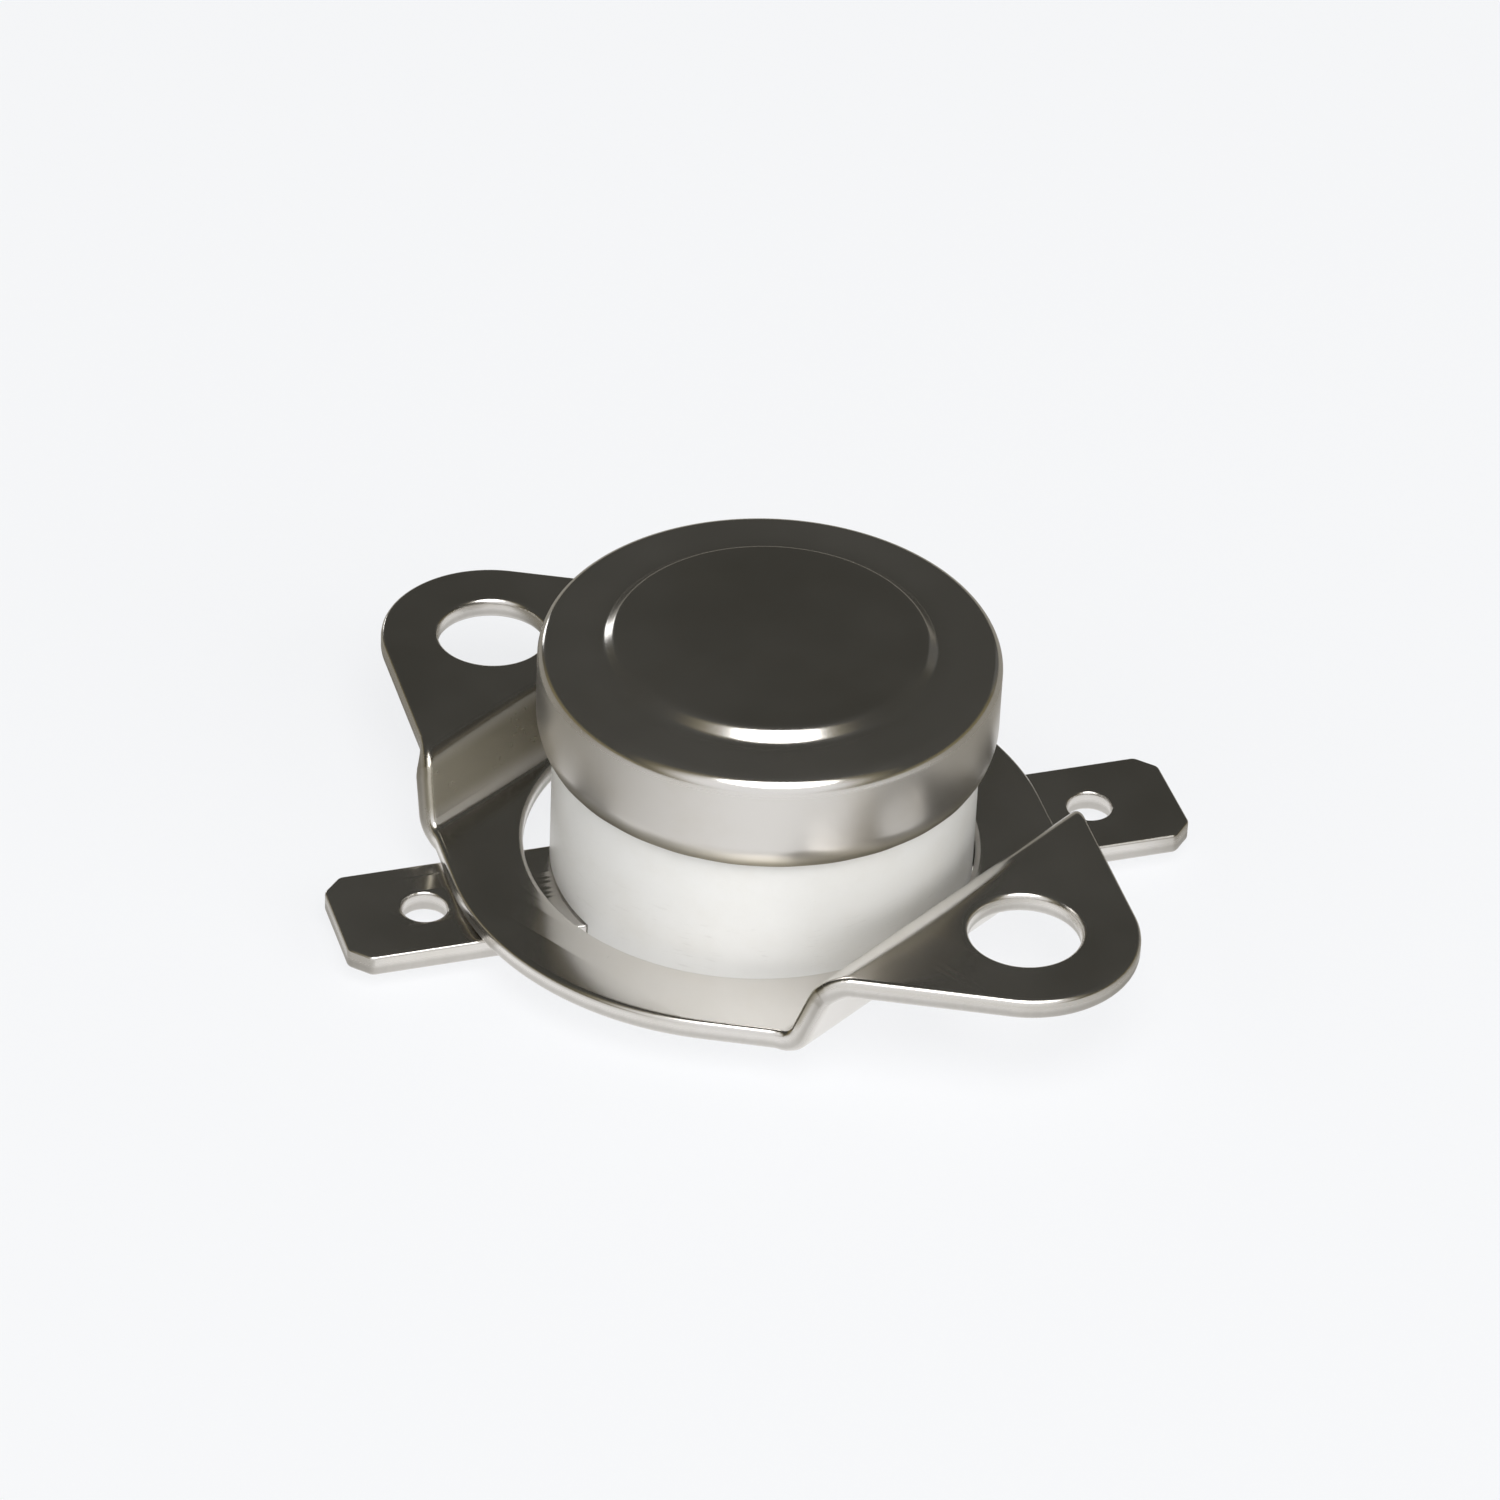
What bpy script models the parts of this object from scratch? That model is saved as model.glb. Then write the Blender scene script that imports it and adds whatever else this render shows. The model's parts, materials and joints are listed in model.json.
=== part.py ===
"""Snap-disc bimetal thermostat: round ceramic body, crimped metal cap, loose mounting flange, flat terminals.

Metres, +Z up. The origin is on the body's axis at the height of its underside. The terminals lie along X, and
the cap's sensing face looks up. Heat makes the snap disc flip down, the transfer pin pushes the contact arm, and
the contacts open. Closed is the rest position.
"""

import math

import bmesh
import bpy

# Clearances
FIT_GAP = 0.0001  # between faces that meet on the real part
PIN_CLEARANCE = 0.00008  # round the transfer pin, per side
FLANGE_CLEARANCE = 0.0005  # round the body inside the flange's hole, per side
FLANGE_SIDE_GAP = 0.00005  # between the loose flange and the body where they lie together
DISC_CLEARANCE = 0.00003  # between the cool disc and the cap at the plateau's foot
ARM_SWING_GAP = 0.0002  # over and under the contact arm where its rivet holds it

# Ceramic base
BODY_DIAMETER = 0.0150
BODY_EDGE_CHAMFER = 0.0003
LAND_DROP = 0.0007  # how far the lands stand below the terminals
FLOOR_THICKNESS = 0.0019  # ceramic between the terminals and the cavity
CAVITY_DEPTH = 0.0054
BODY_WALL = 0.0012  # ceramic round the cavity
COLLAR_STEP = 0.0002  # how far the collar stands out from the body
COLLAR_HEIGHT = 0.0012
COLLAR_TAPER = 0.00025  # height of the cone under the collar
ARM_LEDGE_HEIGHT = 0.0012  # the ledge under the contact arm's end, over the cavity's floor
LEDGE_REACH = 0.0013  # from a rivet's axis to the inner face of its ledge

# Cap
CAP_WALL = 0.0003
CAP_CORNER_RADIUS = 0.0006
PLATEAU_INSET = 0.0011  # from above the disc's rim to the plateau's flat top
PLATEAU_SLOPE_WIDTH = 0.0006
PLATEAU_HEIGHT = 0.00045
CRIMP_DROP = 0.00065  # how far the cap reaches below the collar
CRIMP_HEIGHT = 0.0009
CRIMP_INSET = 0.00022

# Snap disc and its guide
DISC_THICKNESS = 0.0002
DISC_DOME = 0.0004
GUIDE_WEB = 0.0006
GUIDE_RIM = 0.0011  # the guide's ring round the disc
GUIDE_BOSS_DIAMETER = 0.0044
GUIDE_BOSS_HEIGHT = 0.0009
PIN_DIAMETER = 0.0018
PIN_END_ROUND = 0.00025

# Contacts
ARM_THICKNESS = 0.0002
ARM_ROOT_RADIUS = 0.0013
ARM_TIP_RADIUS = 0.00105
CONTACT_OFFSET = 0.0021  # from the body's axis to the contacts' axis
CONTACT_DIAMETER = 0.0018
CONTACT_HEAD = 0.00045
CONTACT_SHANK_DIAMETER = 0.0009
CONTACT_TAIL_DIAMETER = 0.0013
CONTACT_TAIL_HEIGHT = 0.0002
PLATE_THICKNESS = 0.0004
PLATE_TIP_RADIUS = 0.0010
PLATE_ROOT_RADIUS = 0.00135

# Terminals and rivets
TAB_WIDTH = 0.0048
TAB_THICKNESS = 0.0008
TAB_REACH = 0.0080  # from the body's side to the tip
TAB_INNER_END = 0.0021  # from a rivet's axis to the end under the base
TAB_TIP_CHAMFER = 0.0007
TAB_EDGE_ROUND = 0.0001
TAB_HOLE_DIAMETER = 0.0016
TAB_HOLE_FROM_TIP = 0.0032
RIVET_INSET = 0.0028  # from the body's side to a rivet's axis
RIVET_SHANK_DIAMETER = 0.0015
RIVET_HEAD_DIAMETER = 0.0024
RIVET_HEAD_HEIGHT = 0.00045
RIVET_TAIL_DIAMETER = 0.0026
RIVET_TAIL_HEIGHT = 0.0003
RIVET_BORE_DIAMETER = 0.0009
RIVET_BORE_DEPTH = 0.0010

# Mounting flange
FLANGE_THICKNESS = 0.0008
FLANGE_EDGE_ROUND = 0.00022
RING_WIDTH = 0.0028
EAR_HOLE_OFFSET = 0.0034  # from the head of the step to the hole's axis
MOUNT_HOLE_DIAMETER = 0.0039
EAR_TIP_RADIUS = 0.0040
EAR_RISE = 0.0026  # from the ring's top to the ear's top
STEP_START = 0.0003  # from the ring's hole to the foot of the step
STEP_RUN = 0.0008
FOLD_RADIUS = 0.0004  # inside of each bend
FLANGE_TURN = math.radians(-58.0)  # from the terminals' line to the ears' line
FLANGE_SHIFT_TURN = math.radians(168.0)  # the side to which the loose flange lies

# Facets
ROUND_STEPS = 64
SMALL_STEPS = 24
FLANGE_STEPS = 72
FOLD_STEPS = 4
DOME_STEPS = 6
SLOPE_STEPS = 5

# Places and radii that follow from others
body_radius = BODY_DIAMETER / 2
cavity_radius = body_radius - BODY_WALL
collar_radius = body_radius + COLLAR_STEP
cap_inner_radius = collar_radius + FIT_GAP
cap_radius = cap_inner_radius + CAP_WALL
guide_radius = cap_inner_radius - FIT_GAP
disc_pocket = guide_radius - GUIDE_RIM
disc_radius = disc_pocket - FIT_GAP
plateau_top = disc_radius - PLATEAU_INSET
slope_lean = math.tan(math.atan2(PLATEAU_HEIGHT, PLATEAU_SLOPE_WIDTH) / 2) * CAP_WALL
plateau_foot = plateau_top + PLATEAU_SLOPE_WIDTH - slope_lean
rivet_offset = body_radius - RIVET_INSET
tab_tip_x = body_radius + TAB_REACH
tab_inner_x = rivet_offset - TAB_INNER_END
rivet_hole_radius = RIVET_SHANK_DIAMETER / 2 + FIT_GAP
contact_hole_radius = CONTACT_SHANK_DIAMETER / 2 + FIT_GAP
flange_hole_radius = body_radius + FLANGE_CLEARANCE
flange_shift = FLANGE_CLEARANCE - FLANGE_SIDE_GAP
step_start = flange_hole_radius + STEP_START
ear_hole_x = step_start + STEP_RUN + EAR_HOLE_OFFSET

# Heights of the stack, from the lands up
tab_under_z = LAND_DROP
tab_top_z = tab_under_z + TAB_THICKNESS
seat_z = tab_top_z + FIT_GAP
floor_z = seat_z + FLOOR_THICKNESS
arm_ledge_z = floor_z + ARM_LEDGE_HEIGHT
arm_under_z = arm_ledge_z + ARM_SWING_GAP
arm_top_z = arm_under_z + ARM_THICKNESS
moving_face_z = arm_top_z + FIT_GAP + CONTACT_HEAD
fixed_face_z = moving_face_z + FIT_GAP
plate_under_z = fixed_face_z + CONTACT_HEAD + FIT_GAP
plate_ledge_z = plate_under_z - FIT_GAP
plate_top_z = plate_under_z + PLATE_THICKNESS
rim_z = floor_z + CAVITY_DEPTH
collar_under_z = rim_z - COLLAR_HEIGHT
guide_under_z = rim_z + FIT_GAP
guide_recess_z = guide_under_z + GUIDE_WEB
disc_seat_z = guide_recess_z + DISC_DOME
disc_under_z = disc_seat_z + FIT_GAP
disc_rise = DISC_DOME * (1 - (plateau_foot / disc_radius) ** 2)  # the cool disc at the plateau's foot
cap_inner_z = disc_under_z + DISC_THICKNESS + disc_rise + DISC_CLEARANCE
cap_flat_z = cap_inner_z + CAP_WALL
cap_lower_z = collar_under_z - CRIMP_DROP
flange_under_z = tab_top_z + FIT_GAP


# Scene and materials

for old in list(bpy.data.objects):
    bpy.data.objects.remove(old)

part = bpy.data.collections.new("bimetal_thermostat")
cutters = bpy.data.collections.new("cutters")
bpy.context.scene.collection.children.link(part)
bpy.context.scene.collection.children.link(cutters)


def material(name, colour, roughness, metallic):
    made = bpy.data.materials.new(name)
    made.use_nodes = True
    shader = made.node_tree.nodes["Principled BSDF"]
    shader.inputs["Base Color"].default_value = (*colour, 1)
    shader.inputs["Roughness"].default_value = roughness
    shader.inputs["Metallic"].default_value = metallic
    return made


bright_nickel = material("bright_nickel", (0.62, 0.59, 0.55), 0.14, 1)
white_ceramic = material("white_ceramic", (0.86, 0.86, 0.84), 0.35, 0)
bimetal = material("bimetal", (0.50, 0.47, 0.42), 0.35, 1)
spring_copper = material("spring_copper", (0.72, 0.43, 0.26), 0.3, 1)
brass = material("brass", (0.78, 0.60, 0.30), 0.3, 1)
silver = material("silver", (0.86, 0.85, 0.82), 0.25, 1)

body_axis = bpy.data.objects.new("body_axis", None)
part.objects.link(body_axis)


def add_part(name, data, finish, location=(0, 0, 0), parent=body_axis):
    """Puts a piece in the part's collection at a place measured from its parent's origin."""
    piece = bpy.data.objects.new(name, data)
    piece.data.materials.clear()
    piece.data.materials.append(finish)
    piece.parent = parent
    piece.location = location
    part.objects.link(piece)
    return piece


# Shapes that several pieces share


def turned_mesh(name, profile, closed=False):
    """A profile of (radius, height) points, for a Screw modifier to turn."""
    mesh = bpy.data.meshes.new(name)
    corners = [(radius, 0, height) for radius, height in profile]
    edges = [(i, i + 1) for i in range(len(corners) - 1)]
    if closed:
        edges.append((len(corners) - 1, 0))
    mesh.from_pydata(corners, edges, [])
    return mesh


def turn(piece, steps):
    screw = piece.modifiers.new("turn", "SCREW")
    screw.axis = "Z"
    screw.steps = steps
    screw.render_steps = steps
    screw.use_merge_vertices = True
    screw.merge_threshold = 1e-6
    screw.use_smooth_shade = True
    return piece


def arc(centre, radius, start, end, steps):
    """Points on an arc, with angles in degrees from the +radius direction."""
    points = []
    for i in range(steps + 1):
        angle = math.radians(start + (end - start) * i / steps)
        points.append((centre[0] + radius * math.cos(angle), centre[1] + radius * math.sin(angle)))
    return points


def circle(centre_x, radius, steps):
    return arc((centre_x, 0), radius, 0, 360, steps)[:-1]


def outline_round_circles(circles, steps):
    """The outline of a band stretched round circles on the X axis, each (x, radius), in order of x."""
    turns = []
    for (x0, r0), (x1, r1) in zip(circles, circles[1:]):
        turns.append(math.degrees(math.acos((r0 - r1) / (x1 - x0))))
    starts = [*turns, 0][::-1]
    ends = [180, *turns][::-1]
    upper = []
    for (x, radius), start, end in zip(reversed(circles), starts, ends):
        count = max(2, round(steps * (end - start) / 360))
        upper += arc((x, 0), radius, start, end, count)
    lower = [(x, -y) for x, y in reversed(upper[1:-1])]
    return upper + lower


def plate_mesh(name, outline, holes, thickness, edge_round, round_steps=1):
    """A flat plate with holes and rounded edges, its underside at height 0."""
    curve = bpy.data.curves.new(name, "CURVE")
    curve.dimensions = "2D"
    curve.fill_mode = "BOTH"
    curve.extrude = thickness / 2 - edge_round
    curve.bevel_depth = edge_round
    curve.bevel_resolution = round_steps - 1
    curve.offset = -edge_round
    for points in [outline, *[hole[::-1] for hole in holes]]:
        spline = curve.splines.new("POLY")
        spline.points.add(len(points) - 1)
        spline.use_cyclic_u = True
        for point, (x, y) in zip(spline.points, points):
            point.co = (x, y, 0, 1)
    holder = bpy.data.objects.new(name, curve)
    part.objects.link(holder)
    seen = holder.evaluated_get(bpy.context.evaluated_depsgraph_get())
    mesh = bpy.data.meshes.new_from_object(seen)
    bpy.data.objects.remove(holder)
    bpy.data.curves.remove(curve)
    work = bmesh.new()
    work.from_mesh(mesh)
    bmesh.ops.remove_doubles(work, verts=work.verts, dist=1e-6)
    bmesh.ops.translate(work, verts=work.verts, vec=(0, 0, thickness / 2))
    bmesh.ops.recalc_face_normals(work, faces=work.faces)
    work.to_mesh(mesh)
    work.free()
    shade(mesh)
    return mesh


def shade(mesh):
    mesh.shade_smooth()
    mesh.set_sharp_from_angle(angle=math.radians(35))


def add_cutter(name, mesh, location=(0, 0, 0)):
    cutter = bpy.data.objects.new(name, mesh)
    cutter.parent = body_axis
    cutter.location = location
    cutter.display_type = "WIRE"
    cutter.hide_render = True
    cutters.objects.link(cutter)
    return cutter


def box_mesh(name, low, high):
    mesh = bpy.data.meshes.new(name)
    work = bmesh.new()
    bmesh.ops.create_cube(work, size=1)
    size = [b - a for a, b in zip(low, high)]
    middle = [(a + b) / 2 for a, b in zip(low, high)]
    bmesh.ops.scale(work, verts=work.verts, vec=size)
    bmesh.ops.translate(work, verts=work.verts, vec=middle)
    work.to_mesh(mesh)
    work.free()
    return mesh


def rod_mesh(name, radius, low, high, steps):
    mesh = bpy.data.meshes.new(name)
    work = bmesh.new()
    bmesh.ops.create_cone(
        work, cap_ends=True, segments=steps, radius1=radius, radius2=radius, depth=high - low
    )
    bmesh.ops.translate(work, verts=work.verts, vec=(0, 0, (low + high) / 2))
    work.to_mesh(mesh)
    work.free()
    return mesh


def cut(piece, cutter):
    boolean = piece.modifiers.new(cutter.name, "BOOLEAN")
    boolean.operation = "DIFFERENCE"
    boolean.object = cutter
    return piece


# Ceramic base: a turned body with a stepped cavity above and a recess for each terminal below

base_profile = [
    (0, rim_z),
    (collar_radius - BODY_EDGE_CHAMFER, rim_z),
    (collar_radius, rim_z - BODY_EDGE_CHAMFER),
    (collar_radius, collar_under_z),
    (body_radius, collar_under_z - COLLAR_TAPER),
    (body_radius, BODY_EDGE_CHAMFER),
    (body_radius - BODY_EDGE_CHAMFER, 0),
    (0, 0),
]
ceramic_base = turn(add_part("ceramic_base", turned_mesh("ceramic_base", base_profile), white_ceramic), ROUND_STEPS)

overcut = body_radius  # a cutter runs this far past the wall that it opens
cavity = add_cutter(
    "cavity", rod_mesh("cavity", cavity_radius, floor_z, rim_z + overcut, ROUND_STEPS)
)
ledge_face_x = rivet_offset - LEDGE_REACH
arm_ledge = add_cutter(
    "arm_ledge",
    box_mesh("arm_ledge", (-2 * overcut, -2 * overcut, -overcut), (-ledge_face_x, 2 * overcut, arm_ledge_z)),
)
plate_ledge = add_cutter(
    "plate_ledge",
    box_mesh("plate_ledge", (ledge_face_x, -2 * overcut, -overcut), (2 * overcut, 2 * overcut, plate_ledge_z)),
)
cut(cavity, arm_ledge)
cut(cavity, plate_ledge)
cut(ceramic_base, cavity)

recess_half_width = TAB_WIDTH / 2 + FIT_GAP
recess_end_x = tab_inner_x - FIT_GAP
for side, name in ((-1, "left"), (1, "right")):
    ends = sorted((side * recess_end_x, side * 2 * overcut))
    recess = add_cutter(
        f"{name}_recess",
        box_mesh(f"{name}_recess", (ends[0], -recess_half_width, -overcut), (ends[1], recess_half_width, seat_z)),
    )
    hole = add_cutter(
        f"{name}_rivet_hole",
        rod_mesh(f"{name}_rivet_hole", rivet_hole_radius, -overcut, rim_z + overcut, SMALL_STEPS),
        (side * rivet_offset, 0, 0),
    )
    cut(ceramic_base, recess)
    cut(ceramic_base, hole)


# Terminals: stamped tabs with clipped corners, riveted under the base


def terminal_mesh(name):
    """The right-hand terminal, from the body's axis outwards along +X."""
    half = TAB_WIDTH / 2
    clip = TAB_TIP_CHAMFER
    outline = [
        (tab_inner_x, -half),
        (tab_tip_x - clip, -half),
        (tab_tip_x, -half + clip),
        (tab_tip_x, half - clip),
        (tab_tip_x - clip, half),
        (tab_inner_x, half),
    ]
    holes = [
        circle(rivet_offset, rivet_hole_radius, SMALL_STEPS),
        circle(tab_tip_x - TAB_HOLE_FROM_TIP, TAB_HOLE_DIAMETER / 2, SMALL_STEPS),
    ]
    return plate_mesh(name, outline, holes, TAB_THICKNESS, TAB_EDGE_ROUND)


terminal = terminal_mesh("terminal")
right_terminal = add_part("right_terminal", terminal, bright_nickel, (0, 0, tab_under_z))
left_terminal = add_part("left_terminal", terminal, bright_nickel, (0, 0, tab_under_z))
left_terminal.rotation_euler.z = math.pi


# Mounting flange: a flat blank, folded up at a step on each side

fold_lean = math.atan2(EAR_RISE, STEP_RUN)
fold_middle = FOLD_RADIUS + FLANGE_THICKNESS / 2
fold_tangent = fold_middle * math.tan(fold_lean / 2)
slope_length = math.hypot(STEP_RUN, EAR_RISE) - 2 * fold_tangent


def fold_creases():
    """The sheet's middle line, crease by crease: (length along the blank, distance out, height, lean)."""
    start = step_start + FLANGE_THICKNESS / 2 * math.tan(fold_lean / 2) - fold_tangent
    creases = []
    for i in range(FOLD_STEPS + 1):
        lean = fold_lean * i / FOLD_STEPS
        out = start + fold_middle * math.sin(lean)
        creases.append((start + fold_middle * lean, out, fold_middle * (1 - math.cos(lean)), lean))
    foot_length = creases[-1][0] + slope_length
    out = creases[-1][1] + slope_length * math.cos(fold_lean) + fold_middle * math.sin(fold_lean)
    for i in range(FOLD_STEPS + 1):
        lean = fold_lean * (1 - i / FOLD_STEPS)
        turned = fold_middle * (fold_lean - lean)
        creases.append(
            (foot_length + turned, out - fold_middle * math.sin(lean), EAR_RISE - fold_middle * (1 - math.cos(lean)), lean)
        )
    return creases


def fold(length, lift, creases):
    """Where the blank's point goes: length is its distance along the blank, lift its height over the middle."""
    first, last = creases[0], creases[-1]
    if length <= first[0]:
        return length, lift
    if length >= last[0]:
        return last[1] + length - last[0], last[2] + lift
    for (s0, x0, z0, a0), (s1, x1, z1, a1) in zip(creases, creases[1:]):
        if length <= s1:
            share = (length - s0) / (s1 - s0)
            out = x0 - lift * math.sin(a0) + share * (x1 - x0 - lift * (math.sin(a1) - math.sin(a0)))
            height = z0 + lift * math.cos(a0) + share * (z1 - z0 + lift * (math.cos(a1) - math.cos(a0)))
            return out, height


def unfold(outline, creases):
    """The blank's outline for an outline seen from above: its upper edge falls on that outline once folded."""
    spots = [(crease[0], fold(crease[0], FLANGE_THICKNESS / 2, creases)[0]) for crease in creases]
    blank = []
    for (x0, y0), (x1, y1) in zip(outline, [*outline[1:], outline[0]]):
        blank.append((x0, y0))
        crossings = []
        for _, out in spots:
            for place in (-out, out):
                share = (place - x0) / (x1 - x0) if x1 != x0 else 0
                if 0.001 < share < 0.999:
                    crossings.append((share, (place, y0 + share * (y1 - y0))))
        blank += [point for _, point in sorted(crossings)]
    unfolded = []
    for x, y in blank:
        distance = abs(x)
        length = distance
        if distance > spots[-1][1]:
            length = distance + spots[-1][0] - spots[-1][1]
        elif distance > spots[0][1]:
            for (s0, x0), (s1, x1) in zip(spots, spots[1:]):
                if x0 <= distance <= x1:
                    length = s0 + (s1 - s0) * (distance - x0) / (x1 - x0)
        unfolded.append((math.copysign(length, x), y))
    return unfolded


creases = fold_creases()
blank_hole_x = ear_hole_x + creases[-1][0] - creases[-1][1]
flange_outline = outline_round_circles(
    [(-ear_hole_x, EAR_TIP_RADIUS), (0, flange_hole_radius + RING_WIDTH), (ear_hole_x, EAR_TIP_RADIUS)], FLANGE_STEPS
)
flange_outline = unfold(flange_outline, creases)
flange_holes = [
    circle(0, flange_hole_radius, ROUND_STEPS),
    circle(-blank_hole_x, MOUNT_HOLE_DIAMETER / 2, SMALL_STEPS),
    circle(blank_hole_x, MOUNT_HOLE_DIAMETER / 2, SMALL_STEPS),
]
flange_mesh = plate_mesh(
    "mounting_flange", flange_outline, flange_holes, FLANGE_THICKNESS, FLANGE_EDGE_ROUND, 2
)
sheet = bmesh.new()
sheet.from_mesh(flange_mesh)
for crease in creases:
    for side in (-1, 1):
        bmesh.ops.bisect_plane(
            sheet,
            geom=[*sheet.verts, *sheet.edges, *sheet.faces],
            dist=1e-7,
            plane_co=(side * crease[0], 0, 0),
            plane_no=(1, 0, 0),
        )
for corner in sheet.verts:
    side = math.copysign(1, corner.co.x)
    out, height = fold(abs(corner.co.x), corner.co.z - FLANGE_THICKNESS / 2, creases)
    corner.co.x = side * out
    corner.co.z = height + FLANGE_THICKNESS / 2
sheet.to_mesh(flange_mesh)
sheet.free()
shade(flange_mesh)
flange_place = (
    flange_shift * math.cos(FLANGE_SHIFT_TURN),
    flange_shift * math.sin(FLANGE_SHIFT_TURN),
    flange_under_z,
)
mounting_flange = add_part("mounting_flange", flange_mesh, bright_nickel, flange_place)
mounting_flange.rotation_euler.z = FLANGE_TURN


# Rivets: a head inside, a hollow tail rolled over the terminal


def rivet_profile(head_under_z):
    shank = RIVET_SHANK_DIAMETER / 2
    head = RIVET_HEAD_DIAMETER / 2
    tail = RIVET_TAIL_DIAMETER / 2
    bore = RIVET_BORE_DIAMETER / 2
    tail_top_z = tab_under_z - FIT_GAP
    tail_low_z = tail_top_z - RIVET_TAIL_HEIGHT
    round_off = RIVET_HEAD_HEIGHT / 3
    return [
        (0, head_under_z + RIVET_HEAD_HEIGHT),
        (head - round_off, head_under_z + RIVET_HEAD_HEIGHT),
        (head, head_under_z + RIVET_HEAD_HEIGHT - round_off),
        (head, head_under_z),
        (shank, head_under_z),
        (shank, tail_top_z),
        (tail, tail_top_z),
        *arc((tail - RIVET_TAIL_HEIGHT, tail_top_z), RIVET_TAIL_HEIGHT, -25, -90, 3),
        (bore, tail_low_z),
        (bore, tail_low_z + RIVET_BORE_DEPTH),
        (0, tail_low_z + RIVET_BORE_DEPTH),
    ]


left_rivet = turn(
    add_part(
        "left_rivet",
        turned_mesh("left_rivet", rivet_profile(arm_top_z + ARM_SWING_GAP)),
        brass,
        (-rivet_offset, 0, 0),
    ),
    SMALL_STEPS,
)
right_rivet = turn(
    add_part(
        "right_rivet",
        turned_mesh("right_rivet", rivet_profile(plate_top_z + FIT_GAP)),
        brass,
        (rivet_offset, 0, 0),
    ),
    SMALL_STEPS,
)


# Contact arm: its origin is on the rivet's axis at the leaf's middle, where it bends

arm_span = rivet_offset + CONTACT_OFFSET
arm_mesh = plate_mesh(
    "contact_arm",
    outline_round_circles([(0, ARM_ROOT_RADIUS), (arm_span, ARM_TIP_RADIUS)], SMALL_STEPS),
    [circle(0, rivet_hole_radius, SMALL_STEPS), circle(arm_span, contact_hole_radius, SMALL_STEPS)],
    ARM_THICKNESS,
    ARM_THICKNESS / 8,
)
for corner in arm_mesh.vertices:
    corner.co.z -= ARM_THICKNESS / 2
arm_middle_z = (arm_under_z + arm_top_z) / 2
contact_arm = add_part("contact_arm", arm_mesh, spring_copper, (-rivet_offset, 0, arm_middle_z))


# Contacts: domed silver heads, each riveted through its carrier


def contact_profile(carrier_thickness):
    """A contact with its face up: height 0 is the carrier's face on the head's side."""
    head = CONTACT_DIAMETER / 2
    shank = CONTACT_SHANK_DIAMETER / 2
    tail = CONTACT_TAIL_DIAMETER / 2
    face = FIT_GAP + CONTACT_HEAD
    tail_top = -carrier_thickness - FIT_GAP
    return [
        (0, face),
        (head * 0.55, face - CONTACT_HEAD * 0.04),
        (head * 0.85, face - CONTACT_HEAD * 0.2),
        (head, face - CONTACT_HEAD * 0.5),
        (head, FIT_GAP),
        (shank, FIT_GAP),
        (shank, tail_top),
        (tail, tail_top),
        (tail * 0.8, tail_top - CONTACT_TAIL_HEIGHT),
        (0, tail_top - CONTACT_TAIL_HEIGHT),
    ]


moving_contact = turn(
    add_part(
        "moving_contact",
        turned_mesh("moving_contact", contact_profile(ARM_THICKNESS)),
        silver,
        (arm_span, 0, ARM_THICKNESS / 2),
        contact_arm,
    ),
    SMALL_STEPS,
)
fixed_contact = turn(
    add_part(
        "fixed_contact",
        turned_mesh("fixed_contact", contact_profile(PLATE_THICKNESS)),
        silver,
        (CONTACT_OFFSET, 0, plate_under_z),
    ),
    SMALL_STEPS,
)
fixed_contact.rotation_euler.x = math.pi

plate_span = rivet_offset - CONTACT_OFFSET
fixed_contact_plate = add_part(
    "fixed_contact_plate",
    plate_mesh(
        "fixed_contact_plate",
        outline_round_circles([(0, PLATE_TIP_RADIUS), (plate_span, PLATE_ROOT_RADIUS)], SMALL_STEPS),
        [circle(0, contact_hole_radius, SMALL_STEPS), circle(plate_span, rivet_hole_radius, SMALL_STEPS)],
        PLATE_THICKNESS,
        PLATE_THICKNESS / 8,
    ),
    brass,
    (CONTACT_OFFSET, 0, plate_under_z),
)


# Transfer pin: a ceramic rod from the disc's crown to the arm

pin_top_z = disc_under_z + DISC_DOME - FIT_GAP
pin_under_z = arm_top_z + FIT_GAP
pin_radius = PIN_DIAMETER / 2
pin_length = pin_top_z - pin_under_z
pin_round = min(PIN_END_ROUND, pin_radius)
pin_profile = [
    (0, pin_length),
    *arc((pin_radius - pin_round, pin_length - pin_round), pin_round, 90, 0, 3),
    *arc((pin_radius - pin_round, pin_round), pin_round, 0, -90, 3),
    (0, 0),
]
transfer_pin = turn(
    add_part("transfer_pin", turned_mesh("transfer_pin", pin_profile), white_ceramic, (0, 0, pin_under_z)),
    SMALL_STEPS,
)


# Disc guide: a ring that carries the disc's rim, with a boss round the pin

guide_bore = pin_radius + PIN_CLEARANCE
guide_boss = GUIDE_BOSS_DIAMETER / 2
disc_ledge = disc_radius - 2 * DISC_DOME
guide_profile = [
    (guide_bore, guide_recess_z),
    (disc_ledge, guide_recess_z),
    (disc_ledge, disc_seat_z),
    (disc_pocket, disc_seat_z),
    (disc_pocket, cap_inner_z - FIT_GAP),
    (guide_radius - CAP_CORNER_RADIUS, cap_inner_z - FIT_GAP),
    (guide_radius, cap_inner_z - CAP_CORNER_RADIUS),
    (guide_radius, guide_under_z),
    (guide_boss, guide_under_z),
    (guide_boss, guide_under_z - GUIDE_BOSS_HEIGHT),
    (guide_bore, guide_under_z - GUIDE_BOSS_HEIGHT),
]
disc_guide = turn(
    add_part("disc_guide", turned_mesh("disc_guide", guide_profile, closed=True), white_ceramic), ROUND_STEPS
)


# Snap disc: a thin dome, crown up when it is cool

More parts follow.
